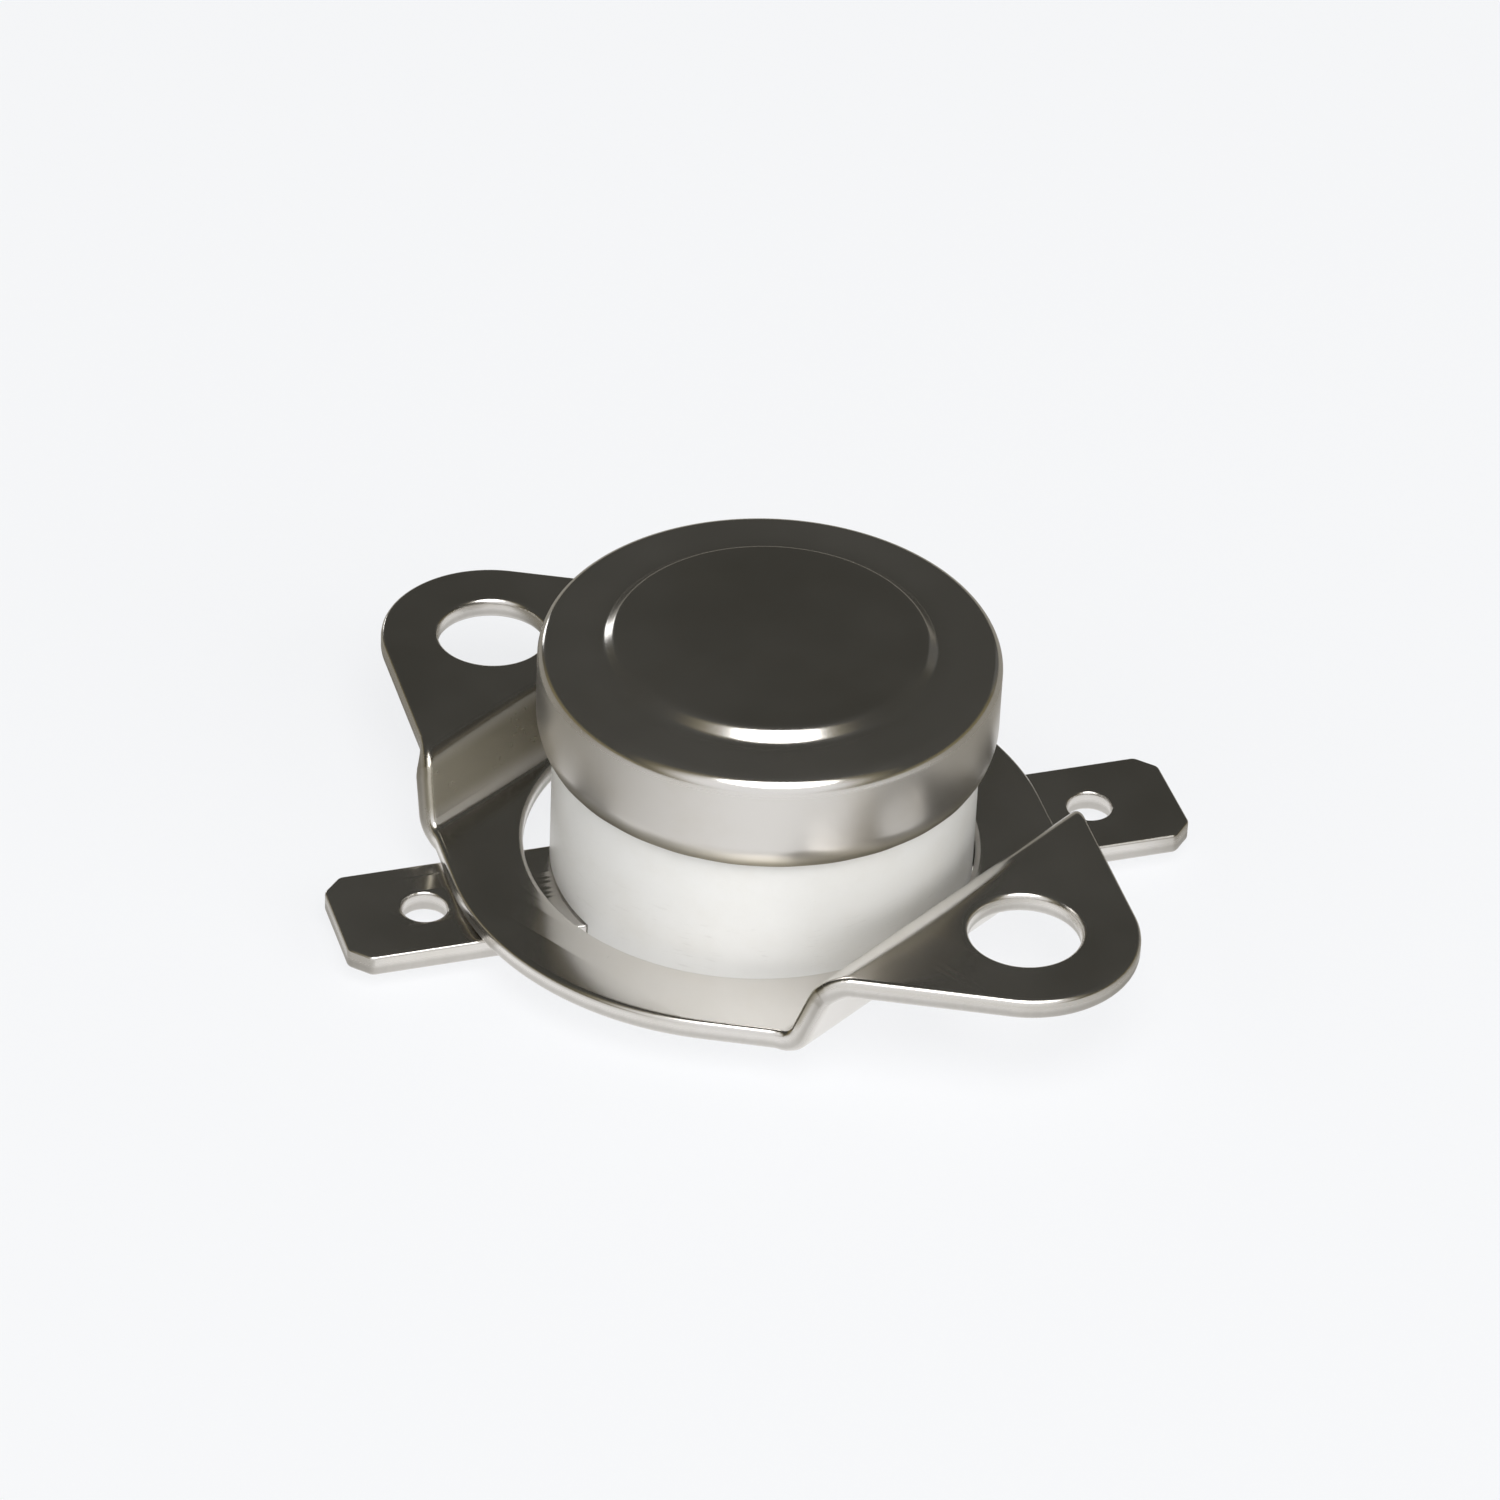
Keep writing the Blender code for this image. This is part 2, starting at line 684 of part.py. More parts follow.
dome_radius = (disc_radius**2 + DISC_DOME**2) / (2 * DISC_DOME)
rim_angle = math.degrees(math.asin(disc_radius / dome_radius))
dome = [(radius, height) for height, radius in arc((0, 0), dome_radius, 0, rim_angle, DOME_STEPS)]
dome_drop = dome_radius - DISC_DOME
disc_top = [(radius, height - dome_drop + DISC_THICKNESS) for radius, height in dome]
disc_under = [(radius, height - dome_drop) for radius, height in reversed(dome)]
snap_disc = turn(
    add_part("snap_disc", turned_mesh("snap_disc", disc_top + disc_under), bimetal, (0, 0, disc_under_z)),
    ROUND_STEPS,
)


# Cap: a drawn cup whose lower edge is rolled in under the collar

plateau_z = cap_flat_z + PLATEAU_HEIGHT
slope_points = []
for i in range(SLOPE_STEPS + 1):
    share = i / SLOPE_STEPS
    slope_points.append(
        (
            plateau_top + PLATEAU_SLOPE_WIDTH * share,
            cap_flat_z + PLATEAU_HEIGHT * (1 + math.cos(math.pi * share)) / 2,
        )
    )
crimp_angle = 2 * math.degrees(math.atan2(CRIMP_INSET, CRIMP_HEIGHT))
crimp_radius = CRIMP_HEIGHT / math.sin(math.radians(crimp_angle))
crimp_centre = (cap_radius - crimp_radius, cap_lower_z + CRIMP_HEIGHT)
corner_centre = (cap_radius - CAP_CORNER_RADIUS, cap_flat_z - CAP_CORNER_RADIUS)
cap_outside = [
    (0, plateau_z),
    *slope_points,
    *arc(corner_centre, CAP_CORNER_RADIUS, 90, 0, 5),
    *arc(crimp_centre, crimp_radius, 0, -crimp_angle, 3),
]
cap_inside = [
    *arc(crimp_centre, crimp_radius - CAP_WALL, -crimp_angle, 0, 3),
    *arc(corner_centre, CAP_CORNER_RADIUS - CAP_WALL, 0, 90, 3),
    (plateau_foot, cap_inner_z),
    (plateau_top - slope_lean, cap_inner_z + PLATEAU_HEIGHT),
    (0, cap_inner_z + PLATEAU_HEIGHT),
]
cap = turn(add_part("cap", turned_mesh("cap", cap_outside + cap_inside), bright_nickel), ROUND_STEPS)
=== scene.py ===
# %% [markdown]
# A snap-disc thermostat for an appliance: a drawn metal cap rolled over a white ceramic body, a loose
# sheet-metal flange round the body, and two flat tabs riveted under it. The solids of the real construction
# are loaded first. Every piece below is made at the place and size that they give, so nothing is fitted by
# eye.

# %% Load the fixed frame
import json
import math

import bmesh
import bpy
import numpy as np
from mathutils import Matrix, Vector


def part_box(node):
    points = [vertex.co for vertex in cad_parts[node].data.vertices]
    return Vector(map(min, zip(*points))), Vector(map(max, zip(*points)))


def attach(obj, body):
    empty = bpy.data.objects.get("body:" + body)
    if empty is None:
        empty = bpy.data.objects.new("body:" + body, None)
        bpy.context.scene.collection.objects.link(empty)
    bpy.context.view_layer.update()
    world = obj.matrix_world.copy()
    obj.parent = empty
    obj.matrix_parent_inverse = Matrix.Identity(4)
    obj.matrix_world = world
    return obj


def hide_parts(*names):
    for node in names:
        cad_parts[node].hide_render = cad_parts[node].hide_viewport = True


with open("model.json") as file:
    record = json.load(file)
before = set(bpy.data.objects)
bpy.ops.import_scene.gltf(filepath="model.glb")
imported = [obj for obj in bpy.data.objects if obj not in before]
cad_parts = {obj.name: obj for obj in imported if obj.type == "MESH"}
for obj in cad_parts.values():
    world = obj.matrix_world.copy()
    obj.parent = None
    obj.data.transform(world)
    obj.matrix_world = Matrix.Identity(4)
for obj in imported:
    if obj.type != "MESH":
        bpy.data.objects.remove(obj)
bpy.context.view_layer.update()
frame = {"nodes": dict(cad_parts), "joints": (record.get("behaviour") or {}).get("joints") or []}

MM = 0.001
cap_low, cap_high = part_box("cap")
base_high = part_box("ceramic_base")[1]
flange_low, flange_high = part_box("mounting_flange")
print("cap", [round(v / MM, 2) for v in cap_high - cap_low], "mm")

# %% [markdown]
# ## The camera
# The photograph was taken with a long lens from about 37 degrees above the table, and the camera leaned
# over by a few degrees. A camera can be placed by hand until the picture looks right. Here its place is
# worked out from the viewing direction, a distance and a roll, because these can be checked one at a time.
# The aim point moves the object inside the picture.

# %% Camera from direction, distance and roll
VIEW_ELEVATION = math.radians(36.59)
VIEW_TURN = math.radians(-18.1)
VIEW_ROLL = math.radians(2.6)
VIEW_DISTANCE = 254.95 * MM
AIM = Vector((0, 0, 10.7 * MM))
AIM_SHIFT = (0.56 * MM, 3.67 * MM)  # to the right and up, in the picture's plane
LENS = 176.35
SENSOR = 36.0


def view_axes(elevation, turn, roll):
    """The camera's right, up and forward directions."""
    level = Vector((-math.sin(turn), math.cos(turn), 0))
    forward = level * math.cos(elevation) - Vector((0, 0, math.sin(elevation)))
    right = forward.cross(Vector((0, 0, 1))).normalized()
    up = right.cross(forward)
    leaned_right = right * math.cos(roll) + up * math.sin(roll)
    leaned_up = up * math.cos(roll) - right * math.sin(roll)
    return right, up, forward, leaned_right, leaned_up


right, up, forward, leaned_right, leaned_up = view_axes(VIEW_ELEVATION, VIEW_TURN, VIEW_ROLL)
camera = bpy.data.objects.new("camera", bpy.data.cameras.new("camera"))
bpy.context.scene.collection.objects.link(camera)
camera.data.lens = LENS
camera.data.sensor_width = SENSOR
camera.data.clip_start = 0.01
place = AIM - forward * VIEW_DISTANCE - right * AIM_SHIFT[0] - up * AIM_SHIFT[1]
turned = Matrix((leaned_right, leaned_up, -forward)).transposed()
camera.matrix_world = Matrix.Translation(place) @ turned.to_4x4()
bpy.context.scene.camera = camera
bpy.context.scene.view_settings.view_transform = "Standard"
print("camera at", [round(v / MM, 1) for v in place], "mm")

# %% [markdown]
# ## Node trees as expressions
# A finish needs many small sums, such as "roughness is a base plus a share of the scratches". Placing a
# Math node for each by hand hides what is meant. This class wraps one socket, and Python's own operators
# add the nodes, so a rule reads as it would on paper. The same class serves shader trees and Geometry Nodes
# trees.


# %% A socket that understands arithmetic
class Wire:
    """One output socket of a node tree."""

    def __init__(self, tree, socket=None):
        self.tree = tree
        self.socket = socket

    def add(self, kind, settings=None, sockets=None, output=0):
        """Adds any node. Settings are set first, then each socket gets a value or a link."""
        node = self.tree.nodes.new(kind)
        for name, value in (settings or {}).items():
            if name == "stops":
                fill_ramp(node.color_ramp, value)
            else:
                setattr(node, name, value)
        for name, value in (sockets or {}).items():
            if isinstance(value, Wire):
                self.tree.links.new(value.socket, node.inputs[name])
            else:
                node.inputs[name].default_value = value
        return Wire(self.tree, node.outputs[output]) if node.outputs else node

    def math(self, operation, *values):
        return self.add("ShaderNodeMath", {"operation": operation}, dict(enumerate(values)))

    def __add__(self, other):
        return self.math("ADD", self, other)

    def __radd__(self, other):
        return self.math("ADD", other, self)

    def __sub__(self, other):
        return self.math("SUBTRACT", self, other)

    def __rsub__(self, other):
        return self.math("SUBTRACT", other, self)

    def __mul__(self, other):
        return self.math("MULTIPLY", self, other)

    def __rmul__(self, other):
        return self.math("MULTIPLY", other, self)

    def __truediv__(self, other):
        return self.math("DIVIDE", self, other)

    def __pow__(self, other):
        return self.math("POWER", self, other)


def fill_ramp(ramp, stops):
    """Sets a ramp's stops from (position, grey or colour) pairs."""
    while len(ramp.elements) < len(stops):
        ramp.elements.new(1.0)
    for element, (position, value) in zip(ramp.elements, stops):
        element.position = position
        colour = value if isinstance(value, tuple) else (value, value, value)
        element.color = (*colour, 1.0)


# %% [markdown]
# ## Finishes
# All textures below read the piece's own coordinates, scaled to millimetres, so their sizes are real sizes:
# a rolling line is a few hundredths of a millimetre wide on every piece, whatever its shape.


# %% The start and the end of a finish
def start_finish(name):
    """A new material, with its coordinates in millimetres."""
    made = bpy.data.materials.new(name)
    made.use_nodes = True
    made.node_tree.nodes.clear()
    wire = Wire(made.node_tree)
    metres = wire.add("ShaderNodeTexCoord", output="Object")
    place = wire.add("ShaderNodeVectorMath", {"operation": "SCALE"}, {0: metres, "Scale": 1 / MM})
    return made, place


def stretched(place, scale):
    """The coordinates multiplied axis by axis: a small factor draws a pattern out along that axis."""
    return place.add("ShaderNodeVectorMath", {"operation": "MULTIPLY"}, {0: place, 1: scale})


def noise(place, scale, detail=3.0, roughness=0.55, distortion=0.0):
    sockets = {"Vector": place, "Scale": scale, "Detail": detail, "Roughness": roughness}
    sockets["Distortion"] = distortion
    return place.add("ShaderNodeTexNoise", None, sockets, "Fac")


def band(value, low, high):
    """0 below low, 1 above high, and smooth between."""
    sockets = {"Value": value, "From Min": low, "From Max": high}
    return value.add("ShaderNodeMapRange", {"interpolation_type": "SMOOTHSTEP"}, sockets)


def mix_colour(factor, first, second):
    colours = [(*c, 1.0) if isinstance(c, tuple) else c for c in (first, second)]
    sockets = {0: factor, 6: colours[0], 7: colours[1]}
    return factor.add("ShaderNodeMix", {"data_type": "RGBA"}, sockets, 2)


def bump(height, depth, under=None):
    """A relief of that depth in millimetres, on top of another if one is given."""
    sockets = {"Height": height, "Distance": depth * MM, "Strength": 1.0}
    if under is not None:
        sockets["Normal"] = under
    return height.add("ShaderNodeBump", None, sockets)


def end_finish(made, colour, roughness, normal, metallic=1.0, constants=None):
    sockets = {"Base Color": colour, "Roughness": roughness, "Normal": normal, "Metallic": metallic}
    sockets.update(constants or {})
    shader = colour.add("ShaderNodeBsdfPrincipled", None, sockets)
    shader.add("ShaderNodeOutputMaterial", None, {"Surface": shader})
    return made


# %% [markdown]
# ### Bright nickel
# The cap, the flange and the tabs are steel with a thin bright plate. It is a mirror that is not quite
# flat: the strip's rolling lines show through, handling leaves hair scratches, and slow waves bend the
# reflections. A metallic shader with a low roughness gives the mirror, and three reliefs of a few tenths of
# a micrometre give what a flat mirror lacks. A sheared edge is duller, with drag lines across the sheet's
# thickness. Where the flange is folded up to its ears, the bent plate on the upper side is a little rougher,
# and its colour there is a painted dark reflection, olive and dark.

# %% Nickel plate on sheet, and on the drawn cap
NICKEL = (0.765, 0.742, 0.712)
NICKEL_SHADE = (0.660, 0.620, 0.545)
# The olive and the dark colour below are painted shade, on the fold's slopes and round the cap's lower edge.
PAINTED_OLIVE_SHADE = (0.540, 0.505, 0.420)
PAINTED_DARK_SHADE = (0.340, 0.310, 0.240)
SHEARED = (0.530, 0.510, 0.480)
EAR_RISE = 2.60 * MM  # from the ring's top to the ear's top


def hair_scratches(place, turn, fineness):
    """Thin bright lines that run nearly one way, broken up along their length."""
    sockets = {"Vector": place, "Angle": turn}
    turned = place.add("ShaderNodeVectorRotate", {"rotation_type": "Z_AXIS"}, sockets)
    lines = noise(stretched(turned, (0.25, fineness, fineness)), 1.0, 2.0, 0.5, 0.3)
    gaps = noise(place, 0.6, 2.0)
    return band(lines, 0.66, 0.74) * band(gaps, 0.48, 0.62)


def nickel_finish(name, rolled_along, base_roughness, steps=None):
    """Steps gives the heights between which the sheet is folded: there the plate is a little rougher, and
    painted shade makes it olive and dark.
    """
    made, place = start_finish(name)
    waves = noise(place, 0.22, 2.0)
    rolled = noise(stretched(place, rolled_along), 1.0, 4.0, 0.6)
    grain = noise(place, 14.0, 3.0)
    scratches = hair_scratches(place, 0.6, 7.0) + hair_scratches(place, 2.1, 9.0)
    stain = band(noise(place, 0.35, 4.0, 0.6), 0.45, 0.8)
    wall = place.add("ShaderNodeAttribute", {"attribute_name": "wall"}, None, "Fac")
    depth = place.add("ShaderNodeAttribute", {"attribute_name": "sheet_depth"}, None, "Fac")
    drag = noise(stretched(place, (6.0, 6.0, 0.4)), 1.0, 3.0)
    torn = band(depth + noise(place, 1.2, 2.0) * 0.12, 0.42, 0.72)
    sheared = wall * torn * (0.75 + drag * 0.25)
    plate = mix_colour(stain * 0.35, NICKEL, NICKEL_SHADE)
    colour = mix_colour(sheared * 0.9, plate, SHEARED)
    roughness = base_roughness + grain * 0.04 + scratches * 0.08 + wall * 0.08 + sheared * 0.20
    if steps:
        height = place.add("ShaderNodeSeparateXYZ", None, {0: place}, "Z")
        foot, head = steps
        # Painted shade: between the fold's heights the colour is darkened to olive and dark, and the
        # roughness is raised a little.
        slope_dulling_and_shade = band(height, foot + 0.1, foot + 0.8) * (1.0 - band(height, head - 0.8, head))
        slope_dulling_and_shade = slope_dulling_and_shade * (1.0 - band(depth, 0.2, 0.5))
        colour = mix_colour(slope_dulling_and_shade * 0.85, colour, PAINTED_OLIVE_SHADE)
        colour = mix_colour(slope_dulling_and_shade * 0.45, colour, PAINTED_DARK_SHADE)
        roughness = roughness + slope_dulling_and_shade * 0.08
    normal = bump(waves, 0.010)
    normal = bump(rolled, 0.0006, normal)
    normal = bump(grain, 0.0003, normal)
    haze = band(noise(place, 0.16, 2.0), 0.35, 0.70)
    return end_finish(made, colour, roughness, normal, 1.0 - haze * 0.025)


fold_heights = ((flange_high.z - EAR_RISE) / MM, flange_high.z / MM)
sheet_nickel = nickel_finish("sheet_nickel", (0.12, 5.0, 1.0), 0.15, fold_heights)
tab_nickel = nickel_finish("tab_nickel", (5.0, 0.12, 1.0), 0.13)
print("nickel finishes made")


# %% [markdown]
# The cap is drawn from the same strip, so its flat top shows the same lines. The punch leaves faint rings
# on the top and fine upright lines on the wall. The rings come from the distance to the axis, the upright
# lines from a noise that is drawn out along Z. The lower edge was rolled in by a tool, which left it
# rougher.
# Painted shade darkens that band to olive, and its very bottom to a darker colour still.

# %% Nickel on the drawn cap
def cap_finish():
    made, place = start_finish("cap_nickel")
    flat = stretched(place, (1.0, 1.0, 0.0))
    radius = place.add("ShaderNodeVectorMath", {"operation": "LENGTH"}, {0: flat}, "Value")
    height = place.add("ShaderNodeSeparateXYZ", None, {0: place}, "Z")
    rings = radius.math("SINE", radius * 9.0 + noise(place, 0.4, 2.0) * 6.0)
    drawn = noise(stretched(place, (6.0, 6.0, 0.25)), 1.0, 3.0)
    rolled = noise(stretched(place, (0.12, 5.0, 1.0)), 1.0, 4.0, 0.6)
    waves = noise(place, 0.18, 2.0)
    grain = noise(place, 14.0, 3.0)
    scratches = hair_scratches(place, 0.3, 7.0) + hair_scratches(place, 1.8, 9.0)
    wall = 1.0 - band(height, cap_high.z / MM - 1.1, cap_high.z / MM - 0.6)
    stain = band(noise(place, 0.3, 4.0, 0.6), 0.45, 0.8)
    # Painted shade round the rolled-in lower edge: olive over the band and darker at the very bottom; the
    # band is also rougher.
    crimp_dulling_and_shade = 1.0 - band(height, cap_low.z / MM + 0.1, cap_low.z / MM + 0.95)
    colour = mix_colour(stain * 0.3, NICKEL, NICKEL_SHADE)
    painted_edge_shade = 1.0 - band(height, cap_low.z / MM + 0.02, cap_low.z / MM + 0.40)
    colour = mix_colour(crimp_dulling_and_shade * 0.85, colour, PAINTED_OLIVE_SHADE)
    colour = mix_colour(painted_edge_shade * 0.90, colour, PAINTED_DARK_SHADE)
    slope = band(radius, 4.9, 5.4) * (1.0 - band(radius, 5.8, 6.4))
    roughness = 0.11 + grain * 0.04 + scratches * 0.08 + wall * 0.16 + crimp_dulling_and_shade * 0.20 + slope * 0.06
    normal = bump(waves, 0.008)
    normal = bump(rolled * (1.0 - wall), 0.0005, normal)
    normal = bump(rings * (1.0 - wall), 0.0002, normal)
    normal = bump(drawn * wall, 0.0012, normal)
    haze = band(radius, 5.2, 6.6) * 0.6 + band(noise(place, 0.16, 2.0), 0.35, 0.70) * 0.6
    return end_finish(made, colour, roughness, normal, 1.0 - haze * 0.03)


cap_nickel = cap_finish()
print("cap finish made")


# %% [markdown]
# ### White ceramic
# The body is pressed and fired steatite: a dense white ceramic that is smooth but not glossy. Its surface
# has fine pits, a slightly warmer tone in places, and grey rubs where the metal flange has slid along it. A
# pale diffuse colour, a medium roughness and a shallow relief give this, and the rubs are kept to the
# flange's height.

# %% Ceramic finish
CERAMIC = (0.895, 0.895, 0.880)
CERAMIC_WARM = (0.845, 0.835, 0.800)
METAL_RUB = (0.520, 0.510, 0.495)


def ceramic_finish():
    made, place = start_finish("pressed_ceramic")
    height = place.add("ShaderNodeSeparateXYZ", None, {0: place}, "Z")
    cloud = noise(place, 0.5, 4.0, 0.6)
    pits = band(noise(place, 9.0, 2.0), 0.66, 0.76)
    powder = noise(place, 26.0, 2.0)
    rub_top = flange_high.z / MM
    near_flange = band(height, 1.0, 2.0) * (1.0 - band(height, rub_top - 1.4, rub_top))
    streaks = noise(stretched(place, (1.2, 1.2, 9.0)), 1.0, 3.0, 0.6, 0.4)
    rubs = near_flange * band(streaks, 0.60, 0.72)
    colour = mix_colour(band(cloud, 0.40, 0.75) * 0.5, CERAMIC, CERAMIC_WARM)
    colour = mix_colour(pits * 0.25, colour, CERAMIC_WARM)
    colour = mix_colour(rubs * 0.16, colour, METAL_RUB)
    roughness = 0.30 + powder * 0.12 + pits * 0.2
    normal = bump(cloud, 0.012)
    normal = bump(powder, 0.0015, normal)
    normal = bump(pits, -0.004, normal)
    return end_finish(made, colour, roughness, normal, 0.0, {"Specular IOR Level": 0.5})


pressed_ceramic = ceramic_finish()
print("ceramic finish made")


# %% [markdown]
# ### The metals inside
# The snap disc, the spring leaf, the brass pieces and the silver contacts are cut from rolled strip or
# turned from wire. One function makes all four: rolling lines along one direction, a slow change of tone
# from handling, and a tarnish that settles in patches.

# %% Rolled strip in four metals
def strip_finish(name, clean, tarnished, base_roughness, along=(0.15, 6.0, 1.0)):
    made, place = start_finish(name)
    rolled = noise(stretched(place, along), 1.0, 4.0, 0.6)
    patches = band(noise(place, 0.8, 4.0, 0.6), 0.42, 0.72)
    grain = noise(place, 18.0, 2.0)
    colour = mix_colour(patches * 0.6, clean, tarnished)
    roughness = base_roughness + grain * 0.06 + patches * 0.10
    normal = bump(rolled, 0.0010)
    normal = bump(grain, 0.0005, normal)
    return end_finish(made, colour, roughness, normal)


disc_metal = strip_finish("disc_bimetal", (0.560, 0.530, 0.470), (0.470, 0.420, 0.340), 0.26)
leaf_copper = strip_finish("leaf_copper", (0.860, 0.520, 0.340), (0.640, 0.340, 0.200), 0.20)
strip_brass = strip_finish("strip_brass", (0.860, 0.690, 0.380), (0.640, 0.480, 0.240), 0.18)
contact_silver = strip_finish("contact_silver", (0.930, 0.915, 0.880), (0.700, 0.660, 0.580), 0.16)
print("strip finishes made")


# %% [markdown]
# ## Turned pieces
# A drawn cup, a pressed body and a rivet all have one section that runs round an axis. The section is a
# list of radii and heights, with every bend as an arc, and bmesh's spin carries it round. Spin leaves its
# first and last columns apart and may leave faces turned inwards, so doubles are merged before the normals
# are worked out.

# %% Section tools
def arc(centre, radius, start, end, steps):
    """Points on an arc. Angles are in degrees from the outward direction."""
    angles = np.radians(np.linspace(start, end, steps + 1))
    return [(centre[0] + radius * math.cos(a), centre[1] + radius * math.sin(a)) for a in angles]


def clean_mesh(work, name, merge=1e-7):
    bmesh.ops.remove_doubles(work, verts=work.verts, dist=merge)
    bmesh.ops.recalc_face_normals(work, faces=work.faces)
    mesh = bpy.data.meshes.new(name)
    work.to_mesh(mesh)
    work.free()
    return mesh


def turned_mesh(name, section, steps, closed=False):
    work = bmesh.new()
    corners = [work.verts.new((radius, 0, height)) for radius, height in section]
    edges = [work.edges.new(pair) for pair in zip(corners, corners[1:])]
    if closed:
        edges.append(work.edges.new((corners[-1], corners[0])))
    bmesh.ops.spin(
        work, geom=[*corners, *edges], axis=(0, 0, 1), cent=(0, 0, 0), angle=2 * math.pi, steps=steps
    )
    return clean_mesh(work, name)


def add_piece(name, mesh, finish):
    """Puts a mesh in the scene, shaded smooth apart from edges that are really sharp."""
    piece = bpy.data.objects.new(name, mesh)
    bpy.context.scene.collection.objects.link(piece)
    mesh.materials.clear()
    mesh.materials.append(finish)
    mesh.shade_smooth()
    mesh.set_sharp_from_angle(angle=math.radians(38))
    return piece


def keep_flats_flat(piece):
    """Weights each normal by its faces' areas, so that a flat face beside a small round stays flat."""
    weighted = piece.modifiers.new("weighted", "WEIGHTED_NORMAL")
    weighted.mode = "FACE_AREA"
    weighted.weight = 50
    weighted.keep_sharp = True
    bake_modifiers(piece)
    return piece


def bake_modifiers(piece):
    """Replaces a piece's mesh by what its modifiers show, and removes them."""
    graph = bpy.context.evaluated_depsgraph_get()
    seen = piece.evaluated_get(graph)
    mesh = bpy.data.meshes.new_from_object(seen, preserve_all_data_layers=True, depsgraph=graph)
    piece.modifiers.clear()
    piece.data = mesh
    return piece


# %% [markdown]
# ## The cap
# The cap is one drawn cup: a raised round plateau that a soft S-shaped slope joins to the top, a rounded
# corner, a straight wall, and a lower edge that is rolled inwards under the body's collar. The section is
# turned first. The rolling tool leaves shallow flats round the lower edge. They follow a rule, so a
# Geometry Nodes tree presses them in: it moves each point inwards by its angle round the axis and by its
# height.

# %% Section of the cap
CAP_WALL = 0.30 * MM
CAP_CORNER = 0.60 * MM
PLATEAU_RADIUS = 5.21 * MM
PLATEAU_RISE = 0.45 * MM
SLOPE_TILT = 42.0  # degrees, of the cone between the plateau and the flat round it
SLOPE_ROUND = 0.50 * MM
TOP_CROWN = 0.012 * MM
CRIMP_HEIGHT = 0.90 * MM
CRIMP_INSET = 0.22 * MM
CAP_STEPS = 256
cap_radius = cap_high.x
cap_flat = cap_high.z - PLATEAU_RISE
slope_drop = PLATEAU_RISE - TOP_CROWN - 2 * SLOPE_ROUND * (1 - math.cos(math.radians(SLOPE_TILT)))
slope_run = slope_drop / math.tan(math.radians(SLOPE_TILT))
slope_foot = PLATEAU_RADIUS + slope_run + 2 * SLOPE_ROUND * math.sin(math.radians(SLOPE_TILT))


def cap_section():
    crimp_turn = 2 * math.degrees(math.atan2(CRIMP_INSET, CRIMP_HEIGHT))
    crimp_radius = CRIMP_HEIGHT / math.sin(math.radians(crimp_turn))
    crimp_centre = (cap_radius - crimp_radius, cap_low.z + CRIMP_HEIGHT)
    corner_centre = (cap_radius - CAP_CORNER, cap_flat - CAP_CORNER)
    top = []
    for share in np.linspace(0, 1, 15):
        top.append((PLATEAU_RADIUS * share, cap_high.z - TOP_CROWN * share**2))
    brow = (PLATEAU_RADIUS, cap_high.z - TOP_CROWN - SLOPE_ROUND)
    top += arc(brow, SLOPE_ROUND, 90, 90 - SLOPE_TILT, 9)[1:]
    top += arc((slope_foot, cap_flat + SLOPE_ROUND), SLOPE_ROUND, 270 - SLOPE_TILT, 270, 9)
    for share in np.linspace(0, 1, 5)[1:-1]:
        top.append((slope_foot + (corner_centre[0] - slope_foot) * share, cap_flat))
    outside = [
        *top,
        *arc(corner_centre, CAP_CORNER, 90, 0, 16),
        *arc(crimp_centre, crimp_radius, 0, -crimp_turn, 14),
    ]
    inside = [
        *arc(crimp_centre, crimp_radius - CAP_WALL, -crimp_turn, 0, 8),
        *arc(corner_centre, CAP_CORNER - CAP_WALL, 0, 90, 6),
        (slope_foot - CAP_WALL / 3, cap_flat - CAP_WALL),
        (PLATEAU_RADIUS - CAP_WALL / 3, cap_high.z - CAP_WALL),
        (0, cap_high.z - CAP_WALL),
    ]
    return outside + inside


cap_shell = add_piece("cap_shell", turned_mesh("cap_shell", cap_section(), CAP_STEPS), cap_nickel)
print("cap section:", len(cap_section()), "points")


# %% A node tree that presses the rolling tool's flats into the lower edge
def start_tree(name, inputs):
    """A Geometry Nodes tree with named number inputs. Returns it, its input wires and its interface."""
    tree = bpy.data.node_groups.new(name, "GeometryNodeTree")
    tree.interface.new_socket("Geometry", in_out="INPUT", socket_type="NodeSocketGeometry")
    for label, default in inputs.items():
        socket = tree.interface.new_socket(label, in_out="INPUT", socket_type="NodeSocketFloat")
        socket.default_value = default
    tree.interface.new_socket("Geometry", in_out="OUTPUT", socket_type="NodeSocketGeometry")
    group_input = tree.nodes.new("NodeGroupInput")
    wires = {label: Wire(tree, group_input.outputs[label]) for label in ["Geometry", *inputs]}
    return tree, wires


def end_tree(geometry, finish):
    """Ends a tree as the export needs it: no instances left, and the finish set."""
    real = geometry.add("GeometryNodeRealizeInstances", None, {"Geometry": geometry})
    done = geometry.add("GeometryNodeSetMaterial", None, {"Geometry": real, "Material": finish})
    geometry.add("NodeGroupOutput", None, {"Geometry": done})


def run_tree(piece, tree, values):
    """Puts a tree on a piece, sets its inputs by their identifiers, and keeps the plain mesh."""
    modifier = piece.modifiers.new(tree.name, "NODES")
    modifier.node_group = tree
    for item in tree.interface.items_tree:
        if item.item_type == "SOCKET" and item.in_out == "INPUT" and item.name in values:
            modifier[item.identifier] = values[item.name]
    return bake_modifiers(piece)


